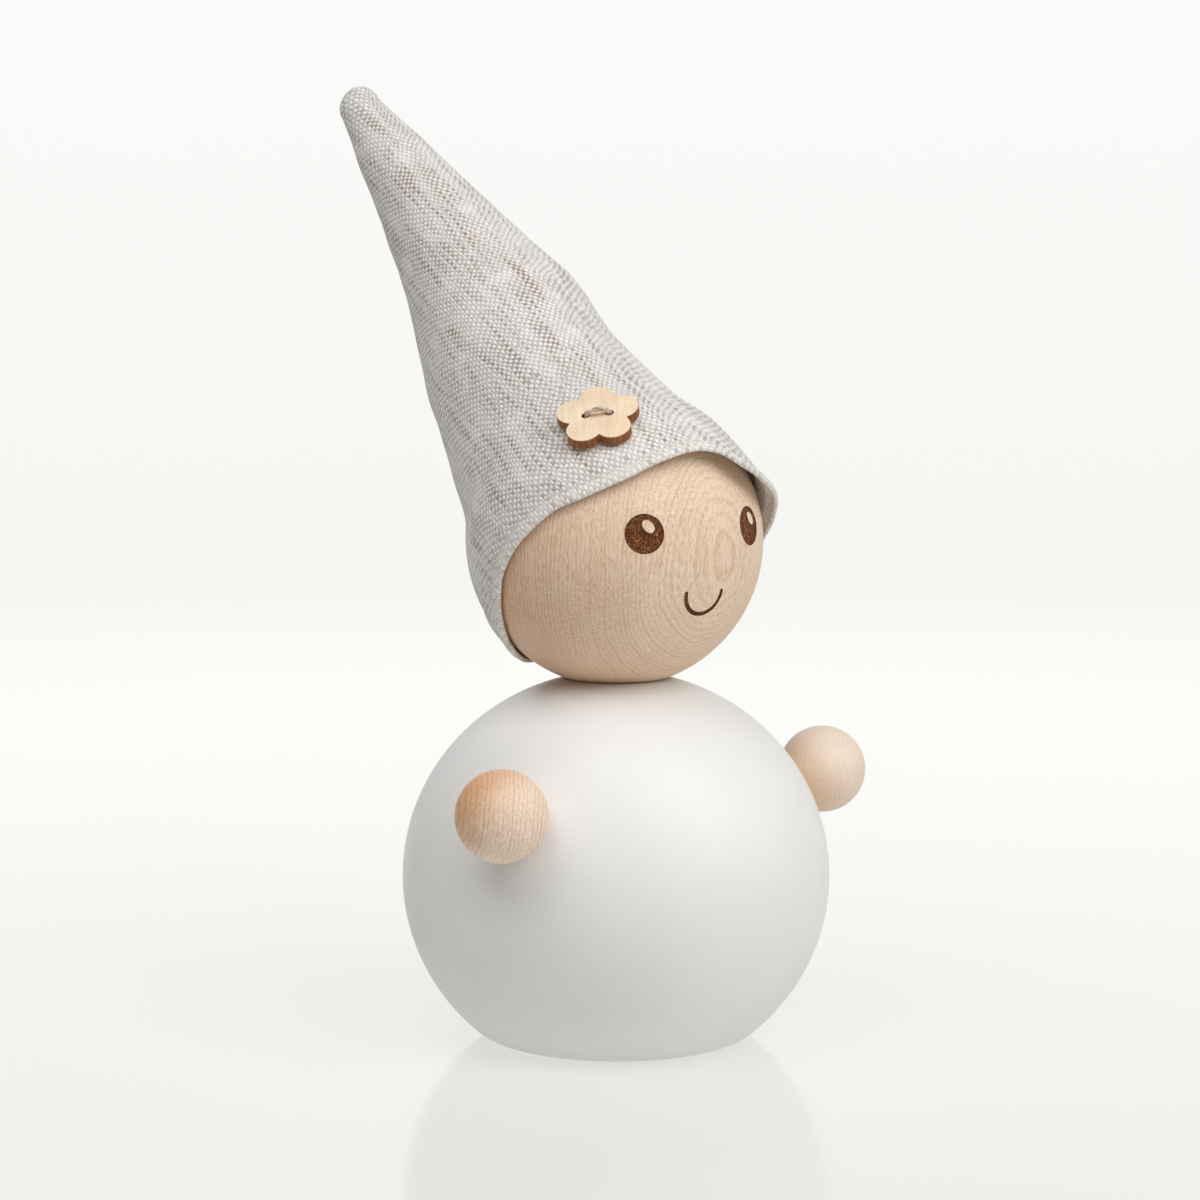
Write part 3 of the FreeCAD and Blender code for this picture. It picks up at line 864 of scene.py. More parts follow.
def sewn_hat(hat, head):
    """The linen cone, built as one curved sheet with its rim folded up inside, then given its thickness."""
    columns = 184
    step = 360.0 / columns
    place = head_place(head)
    mesh = bmesh.new()
    flat_map = mesh.loops.layers.uv.new("Cloth")
    strips = []
    runs = []
    for column in range(columns):
        angle = -180 + step * column
        strip = hat_strip(angle, hat, head.radius / MM)
        strips.append([mesh.verts.new(place @ hat_vertex(out, station, angle))
                       for out, station, run in strip])
        runs.append([run for out, station, run in strip])

    def flat_place(angle, run, radius=99.0):
        """The same point in the flat cut, a sector about the tip that narrows where the cone does."""
        reach = FLAT_APEX - run
        turn = math.radians(angle) * min(FLAT_SPREAD, radius / reach)
        return (0.5 + reach * math.sin(turn) / FLAT_UNIT, 1.0 - reach * math.cos(turn) / FLAT_UNIT)

    def face(corners, uvs):
        new = mesh.faces.new(corners)
        new.smooth = True
        for loop, uv in zip(new.loops, uvs):
            loop[flat_map].uv = uv

    for column in range(columns):
        after = (column + 1) % columns
        angle, next_angle = -180 + step * column, -180 + step * (column + 1)
        for row in range(len(strips[0]) - 1):
            corners = [(column, angle, row), (after, next_angle, row)]
            corners += [(after, next_angle, row + 1), (column, angle, row + 1)]
            face([strips[strip][at] for strip, way, at in corners],
                 [flat_place(way, runs[strip][at]) for strip, way, at in corners])
    # Rounded tip: the last ring is drawn in over a half ball
    last = [strip[-1] for strip in strips]
    centre = sum((vert.co for vert in last), Vector()) / columns
    axis = (place.to_3x3() @ HAT_AXIS).normalized()
    reach = sum((vert.co - centre).length for vert in last) / columns
    cap_rows = 9
    previous = last
    for row in range(1, cap_rows + 1):
        bend = math.pi / 2 * row / cap_rows
        bend_before = math.pi / 2 * (row - 1) / cap_rows
        if row < cap_rows:
            lift = axis * reach * math.sin(bend)
            ring = [mesh.verts.new(centre + (vert.co - centre) * math.cos(bend) + lift) for vert in last]
        else:
            pole = mesh.verts.new(centre + axis * reach)

        def cap_place(angle, bend):
            run = TIP_STATION + FLAT_TIP_SHIFT + reach / MM * bend
            return flat_place(angle, run, reach / MM * math.cos(bend))

        for column in range(columns):
            after = (column + 1) % columns
            angle, next_angle = -180 + step * column, -180 + step * (column + 1)
            low = [cap_place(angle, bend_before), cap_place(next_angle, bend_before)]
            high = [cap_place(next_angle, bend), cap_place(angle, bend)]
            if row < cap_rows:
                face([previous[column], previous[after], ring[after], ring[column]], low + high)
            else:
                face([previous[column], previous[after], pole], low + high[:1])
        previous = ring
    piece = piece_of(mesh, "linen_hat")
    thickness = piece.modifiers.new("Thickness", "SOLIDIFY")
    thickness.thickness = hat.cloth
    thickness.offset = 0.0
    bpy.ops.object.modifier_apply(modifier=thickness.name)
    return piece


def hat_surface(angle, above_rim, hat, head, lift=0.0):
    """A point on the cloth's outer surface, at one angle and height above the rim."""
    station = rim_station(angle) + above_rim
    layers = 1.0 + FOLD_ROOM if above_rim < hat.hem / MM else 1.0
    out = hat_out(angle, station, hat_knots(angle), HAT_GAP + hat.cloth / MM * layers, head.radius / MM)
    out += stitch_pull(above_rim, hat.stitch_line / MM)
    if abs(abs(angle) - 180) < 3:
        out -= seam_pull(angle, above_rim)
    return hat_vertex(out + lift, station, angle)


def one_stitch(length, radius):
    """A short stitch of thread along X that dips into the cloth at both ends."""
    clear_selection()
    bpy.ops.mesh.primitive_uv_sphere_add(segments=10, ring_count=8, radius=radius,
                                         rotation=(0, math.pi / 2, 0))
    piece = settle(named(bpy.context.object, "stitch"))
    edit_all()
    bpy.ops.transform.resize(value=(length / (2 * radius), 1, 1))
    bpy.ops.mesh.select_all(action="DESELECT")
    bpy.ops.object.mode_set(mode="OBJECT")
    for vertex in piece.data.vertices:
        vertex.select = abs(vertex.co.x) > 0.36 * length
    bpy.ops.object.mode_set(mode="EDIT")
    bpy.ops.transform.translate(value=(0, 0, -0.7 * radius))
    bpy.ops.object.mode_set(mode="OBJECT")
    shade_smooth(piece)
    return piece


def sewn_line(name, places, length, radius):
    """Copies of one stitch at (point, direction, outward) places in metres, as one piece."""
    pattern = one_stitch(length, radius)
    copies = []
    for point, direction, outward in places:
        side = outward.cross(direction).normalized()
        copy = bpy.data.objects.new("stitch", pattern.data.copy())
        bpy.context.scene.collection.objects.link(copy)
        copy.data.transform(axes_matrix(direction, side, direction.cross(side).normalized(), point))
        copies.append(copy)
    bpy.data.objects.remove(pattern)
    return joined(copies, name)


# ---------------------------------------------------------------- one operator for each piece

class TurnBody(bpy.types.Operator):
    """Turns the painted body, with its neck bore and the seats of the hands"""
    bl_idname = "tomte.turn_body"
    bl_label = "Turn Body"

    def execute(self, context):
        body, hands = context.scene.tomte_body, context.scene.tomte_hands
        wide, tall, centre, rounding = body.radius, body.half_height, body.centre_height, body.foot_round
        # The foot's rounding touches the flat foot and the ball's side: find its centre by halving
        below = [math.radians(-89 + 0.1 * number) for number in range(890)]

        def away(angle):
            return math.hypot(wide * math.cos(angle) - out, centre + tall * math.sin(angle) - rounding)

        low, high = wide * 0.2, wide
        for _ in range(50):
            out = (low + high) / 2
            low, high = (out, high) if min(map(away, below)) > rounding else (low, out)
        touch = min(below, key=away)
        side_up = math.atan2(centre + tall * math.sin(touch) - rounding, wide * math.cos(touch) - out)
        top = math.asin((body.neck_height - centre) / tall)
        neck_out = wide * math.cos(top)
        profile = [(0, 0), (out * 0.5, 0)]
        profile += arc(out, rounding, rounding, -math.pi / 2, side_up, 16)
        profile += arc(0, centre, wide, touch, top - 0.02, 96, tall / wide)[1:]
        profile += [(neck_out * 0.985, body.neck_height - 0.00002), (neck_out * 0.95, body.neck_height)]
        bore, chamfer = body.bore_radius, 0.0004
        profile += [(bore + chamfer, body.neck_height), (bore, body.neck_height - chamfer)]
        profile += [(bore, body.bore_bottom), (0, body.bore_bottom)]
        piece = turned_piece("painted_body", profile, 176)
        for side in (-1, 1):
            place = hand_matrix(hands, side)
            seat_radius = hands.radius + hands.glue_gap
            seat = turned_piece("seat", arc(0, 0, seat_radius, -math.pi / 2, math.pi / 2, 60), 96)
            carve(piece, settle(seat, place))
            length = hands.dowel_in_body + 0.002
            bore = prism("bore", hands.dowel_radius, 48, length,
                         place @ Matrix.Translation((0, 0, -hands.radius + 0.002 - length)))
            carve(piece, bore)
        piece.data.materials.clear()
        piece.data.materials.append(matt_paint(body.paint))
        smooth(piece)
        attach(piece, "torso")
        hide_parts("body")
        return {"FINISHED"}


def hand_matrix(hands, side):
    """Takes a hand's own frame, its dowel along Z, to its place: side is 1 for +X and -1 for -X."""
    turn, slope = hands.azimuth, hands.slope
    level = math.cos(slope)
    out = Vector((side * level * math.sin(turn), -level * math.cos(turn), math.sin(slope)))
    centre = Vector((side * hands.out * math.sin(turn), -hands.out * math.cos(turn), hands.height))
    right = UP.cross(out).normalized()
    return axes_matrix(right, out.cross(right), out, centre)


def face_frame(head, azimuth, latitude):
    """Right, up and outward directions on the head's own ball, face towards -Y."""
    flat = math.cos(latitude)
    out = Vector((flat * math.sin(azimuth), -flat * math.cos(azimuth), math.sin(latitude)))
    right = UP.cross(out).normalized()
    return right, out.cross(right), out


class TurnHead(bpy.types.Operator):
    """Turns the ball head and burns in its eyes and smile"""
    bl_idname = "tomte.turn_head"
    bl_label = "Turn Head"

    def execute(self, context):
        head = context.scene.tomte_head
        ball, bottom = head.radius, head.flat_height - head.centre_height
        start = math.asin(bottom / ball)
        flat_out = ball * math.cos(start)
        bore_top = head.bore_top - head.centre_height
        profile = [(0, bore_top), (head.bore_radius, bore_top), (head.bore_radius, bottom)]
        profile += [(flat_out * 0.96, bottom)]
        profile += arc(0, 0, ball, start + 0.006, math.pi / 2, 110)
        piece = turned_piece("maple_head", profile, 200)
        marks = self.eye(head, -1)
        carve(marks, self.eye(head, 1), "UNION")
        carve(marks, self.mouth(head), "UNION")
        core = turned_piece("core", arc(0, 0, ball - head.engraving, -math.pi / 2, math.pi / 2, 120), 200)
        carve(marks, core)
        tilt = Matrix.Rotation(head.rolled, 4, "Y")
        settle(marks, tilt)
        carve(piece, marks)
        centre = UP * head.centre_height
        # The rings' middle line stands in front of the face, a little to one side
        to_pith = Matrix.Rotation(math.radians(8.6), 3, "Z") @ Vector((0, -1, 0))
        pith = Matrix.Rotation(head.turned, 3, "Z") @ (to_pith * (ball + 0.030)) + centre
        # Painted shade in part: the head's wood browns towards one side and downwards, where the hat's brim
        # shades it, as well as for the wood's own colour
        heart_and_shade = (centre, Vector((-0.62, 0.55, -0.35)) / ball, screen(240, 226, 215))
        piece.data.materials.clear()
        piece.data.materials.append(maple("Head Maple", pith, (math.radians(2), math.radians(1.5), 0),
                                          tuple(head.pale), tuple(head.ring), 0.72, 0.4, 0.78, heart_and_shade))
        piece.data.materials.append(burned_wood())
        # The burned faces lie below the ball's surface on the face's side
        for polygon in piece.data.polygons:
            middle = polygon.center
            burned = ball - head.engraving - 0.0001 < middle.length < ball - 0.00004 and middle.y < 0
            polygon.material_index = 1 if burned and middle.z > bottom + 0.0005 else 0
        settle(piece, Matrix.Rotation(head.turned, 4, "Z") @ Matrix.Translation((0, 0, head.centre_height)))
        smooth(piece)
        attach(piece, "head_and_hat")
        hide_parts("head")
        return {"FINISHED"}

    def eye(self, head, side):
        """A round plug with an oval left out for the glint."""
        right, up, out = face_frame(head, side * head.eye_azimuth, head.eye_latitude)
        place = axes_matrix(right, up, out, out * head.radius * 0.9)
        plug = prism("eye", head.eye_radius, 96, head.radius * 0.2, place)
        tilt = math.radians(-50)
        glint_place = place @ Matrix.Translation((0.0007, 0.0012, -0.001)) @ Matrix.Rotation(tilt, 4, "Z")
        glint = prism("glint", MM, 48, head.radius * 0.3, glint_place, (1.25, 0.85))
        return carve(plug, glint)

    def mouth(self, head):
        """A half ring with round ends, standing out through the face."""
        clear_selection()
        middle, half, depth = head.mouth_radius, head.mouth_stroke / 2, 0.006
        bpy.ops.mesh.primitive_plane_add(size=0.001, location=(middle, 0, 0))
        piece = settle(named(bpy.context.object, "smile"))
        edit_all()
        bpy.ops.mesh.merge(type="CENTER")
        bpy.ops.transform.translate(value=(-half, 0, 0))
        extrude(2 * half, 0, 0)
        bpy.ops.mesh.select_all(action="SELECT")
        bpy.ops.mesh.spin(steps=40, angle=-math.pi, center=(0, 0, 0), axis=(0, 0, 1))
        bpy.ops.mesh.select_all(action="SELECT")
        bpy.ops.mesh.remove_doubles(threshold=SAME_PLACE)
        extrude(0, 0, depth)
        close_mesh()
        if min(vertex.co.y for vertex in piece.data.vertices) > -middle / 2:
            settle(piece, Matrix.Rotation(math.pi, 4, "Z"))
        for side in (-1, 1):
            end = prism("end", half * 1.002, 32, depth, Matrix.Translation((side * middle, 0, 0)))
            carve(piece, end, "UNION")
        origin = Vector((0, -head.radius + 0.0045, -head.mouth_drop))
        return settle(piece, axes_matrix(Vector((1, 0, 0)), UP, Vector((0, -1, 0)), origin))


class TurnHands(bpy.types.Operator):
    """Turns the two ball hands, each with the bore for its dowel"""
    bl_idname = "tomte.turn_hands"
    bl_label = "Turn Hands"
    # Each hand's wood: the way it grows browner, its tint there, and the strength of its rings and fibres;
    # the browning is partly the wood's own colour and partly painted shade, on the far hand the shade next to
    # the body
    WOODS = {"right_hand": ((-0.6, 0.42, 0.5), (236, 203, 166), 0.42, 0.62),
             "left_hand": ((-0.75, 0.3, -0.55), (246, 228, 206), 0.12, 0.28)}

    def execute(self, context):
        hands = context.scene.tomte_hands
        bore_in = hands.dowel_depth - hands.radius
        start = -math.acos(hands.dowel_radius / hands.radius)
        profile = [(0, bore_in), (hands.dowel_radius, bore_in)]
        profile += arc(0, 0, hands.radius, start, math.pi / 2, 60)
        for name, side in (("right_hand", -1), ("left_hand", 1)):
            place = hand_matrix(hands, side)
            piece = settle(turned_piece(f"maple_{name}", profile, 112), place)
            pith = place.translation + Vector((0.021, -0.019, 0.003)) * -side
            # Painted shade in part: each hand is tinted browner towards the given way, the far hand towards
            # the body that shades it
            browning_and_shade_way, brown, rings, fibres = self.WOODS[name]
            heart_and_shade = (place.translation, Vector(browning_and_shade_way) / hands.radius, screen(*brown))
            wood = maple(f"{name} Maple".replace("_", " ").title(), pith, (0.1, 0.06, 0), tuple(hands.pale),
                         tuple(hands.ring), 0.75, rings, fibres, heart_and_shade)
            piece.data.materials.append(wood)
            smooth(piece)
            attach(piece, "torso")
            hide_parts(name)
        return {"FINISHED"}


class FinishDowels(bpy.types.Operator):
    """Gives the three dowels their wood"""
    bl_idname = "tomte.finish_dowels"
    bl_label = "Finish Dowels"

    def execute(self, context):
        hands = context.scene.tomte_hands
        for name in ("neck_dowel", "right_hand_dowel", "left_hand_dowel"):
            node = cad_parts[name]
            low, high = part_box(name)
            tilt = (0, 0, 0)
            if "hand" in name:
                side = -1 if "right" in name else 1
                tilt = tuple(hand_matrix(hands, side).to_euler())
            pith = (low + high) / 2 + Vector((0.006, 0.004, 0))
            wood = maple(f"{name} Beech".replace("_", " ").title(), pith, tilt,
                         screen(226, 196, 158), screen(190, 148, 106), 1.1, 0.5, 0.5)
            node.data.materials.clear()
            node.data.materials.append(wood)
        return {"FINISHED"}


class SewHat(bpy.types.Operator):
    """Sews the linen hat"""
    bl_idname = "tomte.sew_hat"
    bl_label = "Sew Hat"

    def execute(self, context):
        hat, head = context.scene.tomte_hat, context.scene.tomte_head
        piece = sewn_hat(hat, head)
        piece.data.materials.append(linen(hat))
        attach(piece, "head_and_hat")
        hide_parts("hat")
        return {"FINISHED"}


class StuffHat(bpy.types.Operator):
    """Fills the hat with wadding"""
    bl_idname = "tomte.stuff_hat"
    bl_label = "Stuff Hat"

    def execute(self, context):
        hat, head = context.scene.tomte_hat, context.scene.tomte_head
        place = head_place(head)
        ball = head.radius / MM + 0.6
        first, last = 14.0, 105.0
        angles = range(-180, 180, 10)
        mesh = bmesh.new()

        def out_at(angle, station):
            """Distance of the wadding's side from the hat's axis, inside the cloth."""
            return hat_out(angle, station, hat_knots(angle), 0.5, head.radius / MM) - hat.cloth / MM - 0.75

        def point(out, station, angle):
            return mesh.verts.new(place @ hat_vertex(out, station, angle))

        pole = point(0, ball, 0)
        shell = []
        # Over the head, from its pole outwards, and then up the inside of the cloth
        for share in (0.2, 0.4, 0.6, 0.8, 0.97):
            outs = [out_at(angle, first) * share for angle in angles]
            shell.append([point(out, math.sqrt(max(ball ** 2 - out ** 2, first ** 2)), angle)
                          for out, angle in zip(outs, angles)])
        for number in range(31):
            station = first + (last - first) * number / 30
            shell.append([point(max(out_at(angle, station), 0.6), station, angle) for angle in angles])
        end = point(0, last + 2.0, 0)
        count = len(shell[0])
        for column in range(count):
            after = (column + 1) % count
            mesh.faces.new((pole, shell[0][column], shell[0][after]))
            for low, high in zip(shell, shell[1:]):
                mesh.faces.new((low[column], high[column], high[after], low[after]))
            mesh.faces.new((shell[-1][column], end, shell[-1][after]))
        piece = piece_of(mesh, "hat_wadding")
        remesh = piece.modifiers.new("Remesh", "REMESH")
        remesh.mode = "VOXEL"
        remesh.voxel_size = 0.0016
        bpy.ops.object.modifier_apply(modifier=remesh.name)
        before = [vertex.co.copy() for vertex in piece.data.vertices]
        swell(piece, before, 0.0003)
        refine = piece.modifiers.new("Refine", "SUBSURF")
        refine.levels = refine.render_levels = 1
        bpy.ops.object.modifier_apply(modifier=refine.name)
        shade_smooth(piece)
        material, tree, shader = new_material("Wadding", 0.95)
        shader.inputs["Sheen Weight"].default_value = 0.4
        where = own_place(tree)
        tufts = noise_at(tree, where, 420.0, 5.0, 0.65)
        wool = blended(tree, ramp(tree, tufts, 0.3, 0.7), screen(246, 245, 241), screen(222, 219, 212))
        feed(tree, shader.inputs["Base Color"], wool)
        bumped(tree, shader, tufts, 0.0004, 0.8)
        piece.data.materials.append(material)
        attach(piece, "head_and_hat")
        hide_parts("hat_stuffing")
        return {"FINISHED"}


def swell(piece, before, cap):
    """Blows the padding up with a short cloth simulation, each point held to a small move."""
    scene = bpy.context.scene
    cloth = piece.modifiers.new("Cloth", "CLOTH")
    cloth.settings.use_pressure = True
    cloth.settings.uniform_pressure_force = 4.0
    cloth.settings.effector_weights.gravity = 0.0
    cloth.settings.quality = 4
    for number in range(1, 13):
        scene.frame_set(number)
    settled = piece.evaluated_get(bpy.context.evaluated_depsgraph_get()).to_mesh()
    places = [vertex.co.copy() for vertex in settled.vertices]
    piece.evaluated_get(bpy.context.evaluated_depsgraph_get()).to_mesh_clear()
    piece.modifiers.remove(cloth)
    scene.frame_set(1)
    for vertex, start, end in zip(piece.data.vertices, before, places):
        move = end - start
        if move.length > cap:
            move *= cap / move.length
        vertex.co = start + move


class StitchHat(bpy.types.Operator):
    """Lays the stitches of the hem and of the seam up the back"""
    bl_idname = "tomte.stitch_hat"
    bl_label = "Stitch Hat"

    def execute(self, context):
        hat, head = context.scene.tomte_hat, context.scene.tomte_head
        place = head_place(head)

        def at(angle, above):
            return place @ hat_surface(angle, above, hat, head, 0.1)

        def outward(angle, above, direction):
            centre = place @ (HAT_AXIS * (rim_station(angle) + above))
            spoke = at(angle, above) - centre
            return (spoke - direction * spoke.dot(direction)).normalized()

        line = hat.stitch_line / MM
        hem = []
        for number in range(60):
            angle = -177 + 6.0 * number
            direction = (at(min(angle + 1, 180), line) - at(max(angle - 1, -180), line)).normalized()
            hem.append((at(angle, line), direction, outward(angle, line, direction)))
        seam = []
        for number in range(36):
            above = 2.8 + 104 * number / 35
            direction = (at(180, above + 0.5) - at(180, above - 0.5)).normalized()
            seam.append((at(180, above), direction, outward(180, above, direction)))
        thread = sewing_thread("Hem Thread", screen(240, 237, 232), screen(206, 198, 188), 3200.0)
        for name, places, length in (("hem_stitches", hem, 0.0023), ("seam_stitches", seam, 0.002)):
            piece = sewn_line(name, places, length, 0.00016)
            piece.data.materials.clear()
            piece.data.materials.append(thread)
            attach(piece, "head_and_hat")
            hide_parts("hem_stitching" if name.startswith("hem") else "seam_stitching")
        return {"FINISHED"}


class CutButton(bpy.types.Operator):
    """Cuts the flower button from thin plywood"""
    bl_idname = "tomte.cut_button"
    bl_label = "Cut Button"

    def execute(self, context):
        button = context.scene.tomte_button
        clear_selection()
        bpy.ops.mesh.primitive_circle_add(vertices=240, radius=button.petal_offset, fill_type="NGON")
        piece = named(bpy.context.object, "flower")
        for vertex in piece.data.vertices:
            angle = math.atan2(vertex.co.y, vertex.co.x)
            vertex.co *= self.outline(button, angle) / vertex.co.length
        edit_all()
        extrude(0, 0, button.thickness)
        close_mesh()
        for side in (-1, 1):
            turn = Matrix.Rotation(button.spin, 4, "Z")
            hole_place = turn @ Matrix.Translation((side * button.hole_spacing / 2, 0, -MM))
            carve(piece, prism("hole", button.hole_radius, 40, button.thickness + 2 * MM, hole_place))
        bevel_edges(piece, 0.00009, 2, 50)
        piece.data.materials.clear()
        piece.data.materials.append(birch_ply(button))
        piece.data.materials.append(scorched_ply(button))
        for polygon in piece.data.polygons:
            polygon.material_index = 1 if abs(polygon.normal.z) < 0.8 else 0
        settle(piece, axes_matrix(*button_axes(), BUTTON_BACK * MM))
        named(piece, "birch_flower_button")
        smooth(piece, 40)
        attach(piece, "head_and_hat")
        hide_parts("flower_button")
        return {"FINISHED"}

    def outline(self, button, angle):
        """Distance from the middle to the edge of the petals, in one direction."""
        reach = 0.0
        for petal in range(5):
            turn = angle - button.spin - math.radians(90 + 72 * petal)
            across = button.petal_offset * math.sin(turn)
            if abs(across) < button.petal_radius and math.cos(turn) > 0:
                outer = math.sqrt(button.petal_radius ** 2 - across ** 2)
                reach = max(reach, button.petal_offset * math.cos(turn) + outer)
        return max(reach, button.petal_offset)


class TieThread(bpy.types.Operator):
    """Passes the two-strand thread through the button's holes"""
    bl_idname = "tomte.tie_thread"
    bl_label = "Tie Thread"

    def execute(self, context):
        button = context.scene.tomte_button
        half = button.hole_spacing / 2
        top = button.thickness + button.strand_radius * 1.6
        strands = []
        for strand in (0, 1):
            clear_selection()
            bpy.ops.curve.primitive_nurbs_path_add()
            piece = bpy.context.object
            spline = piece.data.splines[0]
            points = self.strand_path(half, top, button.strand_radius, strand * math.pi)
            spline.points.add(len(points) - len(spline.points))
            for point, place in zip(spline.points, points):
                point.co = (*place, 1.0)
            spline.order_u = 3
            spline.use_endpoint_u = True
            spline.resolution_u = 6
            piece.data.dimensions = "3D"
            piece.data.bevel_depth = button.strand_radius
            piece.data.bevel_resolution = 3
            piece.data.use_fill_caps = True
            bpy.ops.object.convert(target="MESH")
            strands.append(bpy.context.object)
        piece = joined(strands, "button_twine")
        pick(piece)
        edit_all()
        bpy.ops.mesh.remove_doubles(threshold=1e-7)
        close_mesh()
        spin = Matrix.Rotation(button.spin, 4, "Z")
        settle(piece, axes_matrix(*button_axes(), BUTTON_BACK * MM) @ spin)
        piece.data.materials.clear()
        twine = sewing_thread("Button Twine", screen(228, 214, 198), screen(164, 142, 118), 3600.0)
        piece.data.materials.append(twine)
        smooth(piece, 60)
        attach(piece, "head_and_hat")
        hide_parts("button_thread")
        return {"FINISHED"}

    def strand_path(self, half, top, radius, phase):
        """Up one hole, over the face in a low arch and down the other, wound about its partner."""
        below, bend_start, arch = -0.0005, top - 0.0004, 0.00065
        climb = [below + (bend_start - below) * number / 5 for number in range(6)]
        run = [(-half, height) for height in climb]
        for number in range(1, 14):
            part = number / 14
            run.append((-half + 2 * half * part, top + arch * math.sin(math.pi * part)))
        run += [(half, height) for height in reversed(climb)]
        points = []
        travelled, lay = 0.0, 0.0042
        for number, (across, height) in enumerate(run):
            if number:
                before = run[number - 1]
                travelled += math.hypot(across - before[0], height - before[1])
            ahead = run[min(number + 1, len(run) - 1)]
            behind = run[max(number - 1, 0)]
            direction = Vector((ahead[0] - behind[0], 0, ahead[1] - behind[1])).normalized()
            side = Vector((0, 1, 0))
            turn = phase + travelled / lay * 2 * math.pi
            offset = side * math.cos(turn) + direction.cross(side) * math.sin(turn)
            points.append(Vector((across, 0, height)) + offset * radius * 0.92)
        return points


class SetStage(bpy.types.Operator):
    """Lays the pale floor and sets the lights, the surroundings and the camera"""
    bl_idname = "tomte.set_stage"
    bl_label = "Set Stage"

    def execute(self, context):
        stage = context.scene.tomte_stage
        self.floor(stage)
        self.surroundings(context.scene)
        for name, place, power in SOFTBOXES:
            self.softbox(name, place, power)
        self.camera(context.scene)
        context.scene.view_settings.view_transform = "Standard"
        return {"FINISHED"}

    def floor(self, stage):
        clear_selection()
        bpy.ops.mesh.primitive_circle_add(vertices=128, radius=stage.floor_radius, fill_type="NGON")
        piece = named(bpy.context.object, "studio_floor")
        edit_all()
        for _ in range(2):
            bpy.ops.mesh.inset(thickness=stage.floor_radius * 0.3)
        bpy.ops.object.mode_set(mode="OBJECT")
        material, tree, shader = new_material("Pale Floor", 0.13, IOR=1.33)
        where = own_place(tree)
        cloud = noise_at(tree, where, 3.0, 2.0, 0.5)
        light = tuple(stage.floor)
        dim = tuple(channel * 0.97 for channel in light[:3]) + (1.0,)
        feed(tree, shader.inputs["Base Color"], blended(tree, ramp(tree, cloud, 0.3, 0.7), light, dim))
        shader.inputs["Emission Color"].default_value = screen(243, 242, 239)
        shader.inputs["Emission Strength"].default_value = stage.floor_glow
        distance = put(tree, "ShaderNodeVectorMath", where, operation="LENGTH").outputs["Value"]
        clear = put(tree, "ShaderNodeBsdfTransparent")
        fade = ramp(tree, distance, *FLOOR_FADE)
        mix = put(tree, "ShaderNodeMixShader", fade, shader.outputs[0], clear.outputs[0])
        feed(tree, tree.nodes["Material Output"].inputs["Surface"], mix.outputs[0])
        piece.data.materials.append(material)

    def surroundings(self, scene):
        """A pale room: bright where it is seen or mirrored, softer as light on the figurine."""
        world = bpy.data.worlds.new("Pale Room")
        scene.world = world
        world.use_nodes = True
        tree = world.node_tree
        tree.nodes.clear()
        direction = put(tree, "ShaderNodeTexCoord").outputs["Generated"]
        height = put(tree, "ShaderNodeSeparateXYZ", direction).outputs[2]
        share = put(tree, "ShaderNodeMapRange", height, -0.28, 0.07, 0.0, 1.0).outputs[0]
        seen = blended(tree, share, screen(241, 240, 236), screen(250, 250, 248))
        bright = put(tree, "ShaderNodeBackground", seen, 1.0)
        soft = put(tree, "ShaderNodeBackground", (1.0, 1.0, 1.0, 1.0), ROOM_LIGHT)
        rays = put(tree, "ShaderNodeLightPath").outputs
        direct = maths(tree, "MAXIMUM", rays["Is Glossy Ray"], rays["Is Transmission Ray"])
        direct = maths(tree, "MAXIMUM", rays["Is Camera Ray"], direct)
        mix = put(tree, "ShaderNodeMixShader", direct, soft.outputs[0], bright.outputs[0])
        put(tree, "ShaderNodeOutputWorld", mix.outputs[0])

    def softbox(self, name, place, power):
        """A square softbox turned to the figurine."""
        lamp = bpy.data.lights.new(name, "AREA")
        lamp.shape = "RECTANGLE"
        lamp.size, lamp.size_y, lamp.energy = SOFTBOX_SIZE, SOFTBOX_SIZE, power
        piece = bpy.data.objects.new(name, lamp)
        bpy.context.scene.collection.objects.link(piece)
        piece.location = place
        piece.rotation_euler = (SOFTBOX_AIM - Vector(place)).to_track_quat("-Z", "Y").to_euler()

    def camera(self, scene):
        lens = bpy.data.cameras.new("Camera")
        lens.lens, lens.sensor_width = CAMERA_LENS, CAMERA_SENSOR
        lens.clip_start, lens.clip_end = 0.02, 20.0
        piece = bpy.data.objects.new("Camera", lens)
        scene.collection.objects.link(piece)
        piece.location = CAMERA_PLACE
        piece.rotation_euler = Vector(CAMERA_DIRECTION).to_track_quat("-Z", "Y").to_euler()
        scene.camera = piece


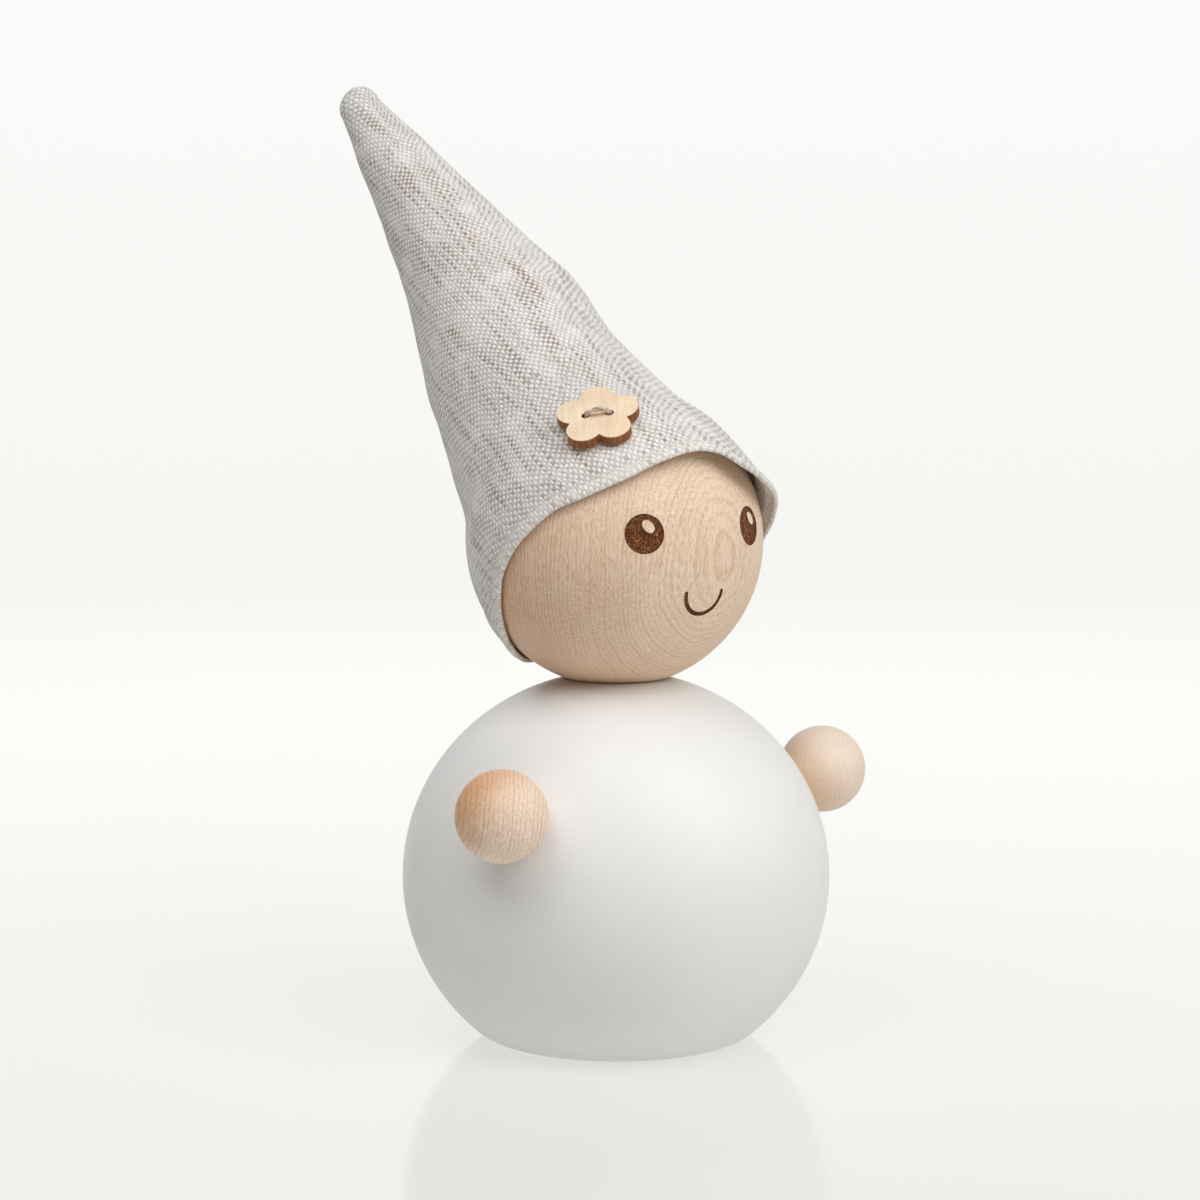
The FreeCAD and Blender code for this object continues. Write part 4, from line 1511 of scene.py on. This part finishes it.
class TomtePanel(bpy.types.Panel):
    """Lists the figurine's sizes and the steps that build it"""
    bl_idname = "VIEW3D_PT_tomte"
    bl_label = "Tomte Figurine"
    bl_space_type = "VIEW_3D"
    bl_region_type = "UI"
    bl_category = "Tomte"

    def draw(self, context):
        for title, group, operators in SECTIONS:
            box = self.layout.box()
            box.label(text=title)
            sizes = getattr(context.scene, group)
            for name in sizes.__annotations__:
                box.prop(sizes, name)
            for operator in operators:
                box.operator(operator.bl_idname)


GROUPS = (("tomte_body", TomteBodySizes), ("tomte_head", TomteHeadSizes), ("tomte_hands", TomteHandSizes),
          ("tomte_hat", TomteHatSizes), ("tomte_button", TomteButtonSizes), ("tomte_stage", TomteStageSizes))
SECTIONS = (
    ("Body", "tomte_body", (TurnBody,)),
    ("Head", "tomte_head", (TurnHead,)),
    ("Hands", "tomte_hands", (TurnHands, FinishDowels)),
    ("Hat", "tomte_hat", (SewHat, StuffHat, StitchHat)),
    ("Button", "tomte_button", (CutButton, TieThread)),
    ("Stage", "tomte_stage", (SetStage,)),
)


def register():
    for name, group in GROUPS:
        bpy.utils.register_class(group)
        setattr(bpy.types.Scene, name, bpy.props.PointerProperty(type=group))
    for title, group, operators in SECTIONS:
        for operator in operators:
            bpy.utils.register_class(operator)
    bpy.utils.register_class(TomtePanel)


def unregister():
    bpy.utils.unregister_class(TomtePanel)
    for title, group, operators in reversed(SECTIONS):
        for operator in reversed(operators):
            bpy.utils.unregister_class(operator)
    for name, group in reversed(GROUPS):
        delattr(bpy.types.Scene, name)
        bpy.utils.unregister_class(group)


def main():
    register()
    bpy.ops.tomte.turn_body()
    bpy.ops.tomte.turn_head()
    bpy.ops.tomte.turn_hands()
    bpy.ops.tomte.finish_dowels()
    bpy.ops.tomte.sew_hat()
    bpy.ops.tomte.stuff_hat()
    bpy.ops.tomte.stitch_hat()
    bpy.ops.tomte.cut_button()
    bpy.ops.tomte.tie_thread()
    bpy.ops.tomte.set_stage()


if __name__ == "__main__":
    main()
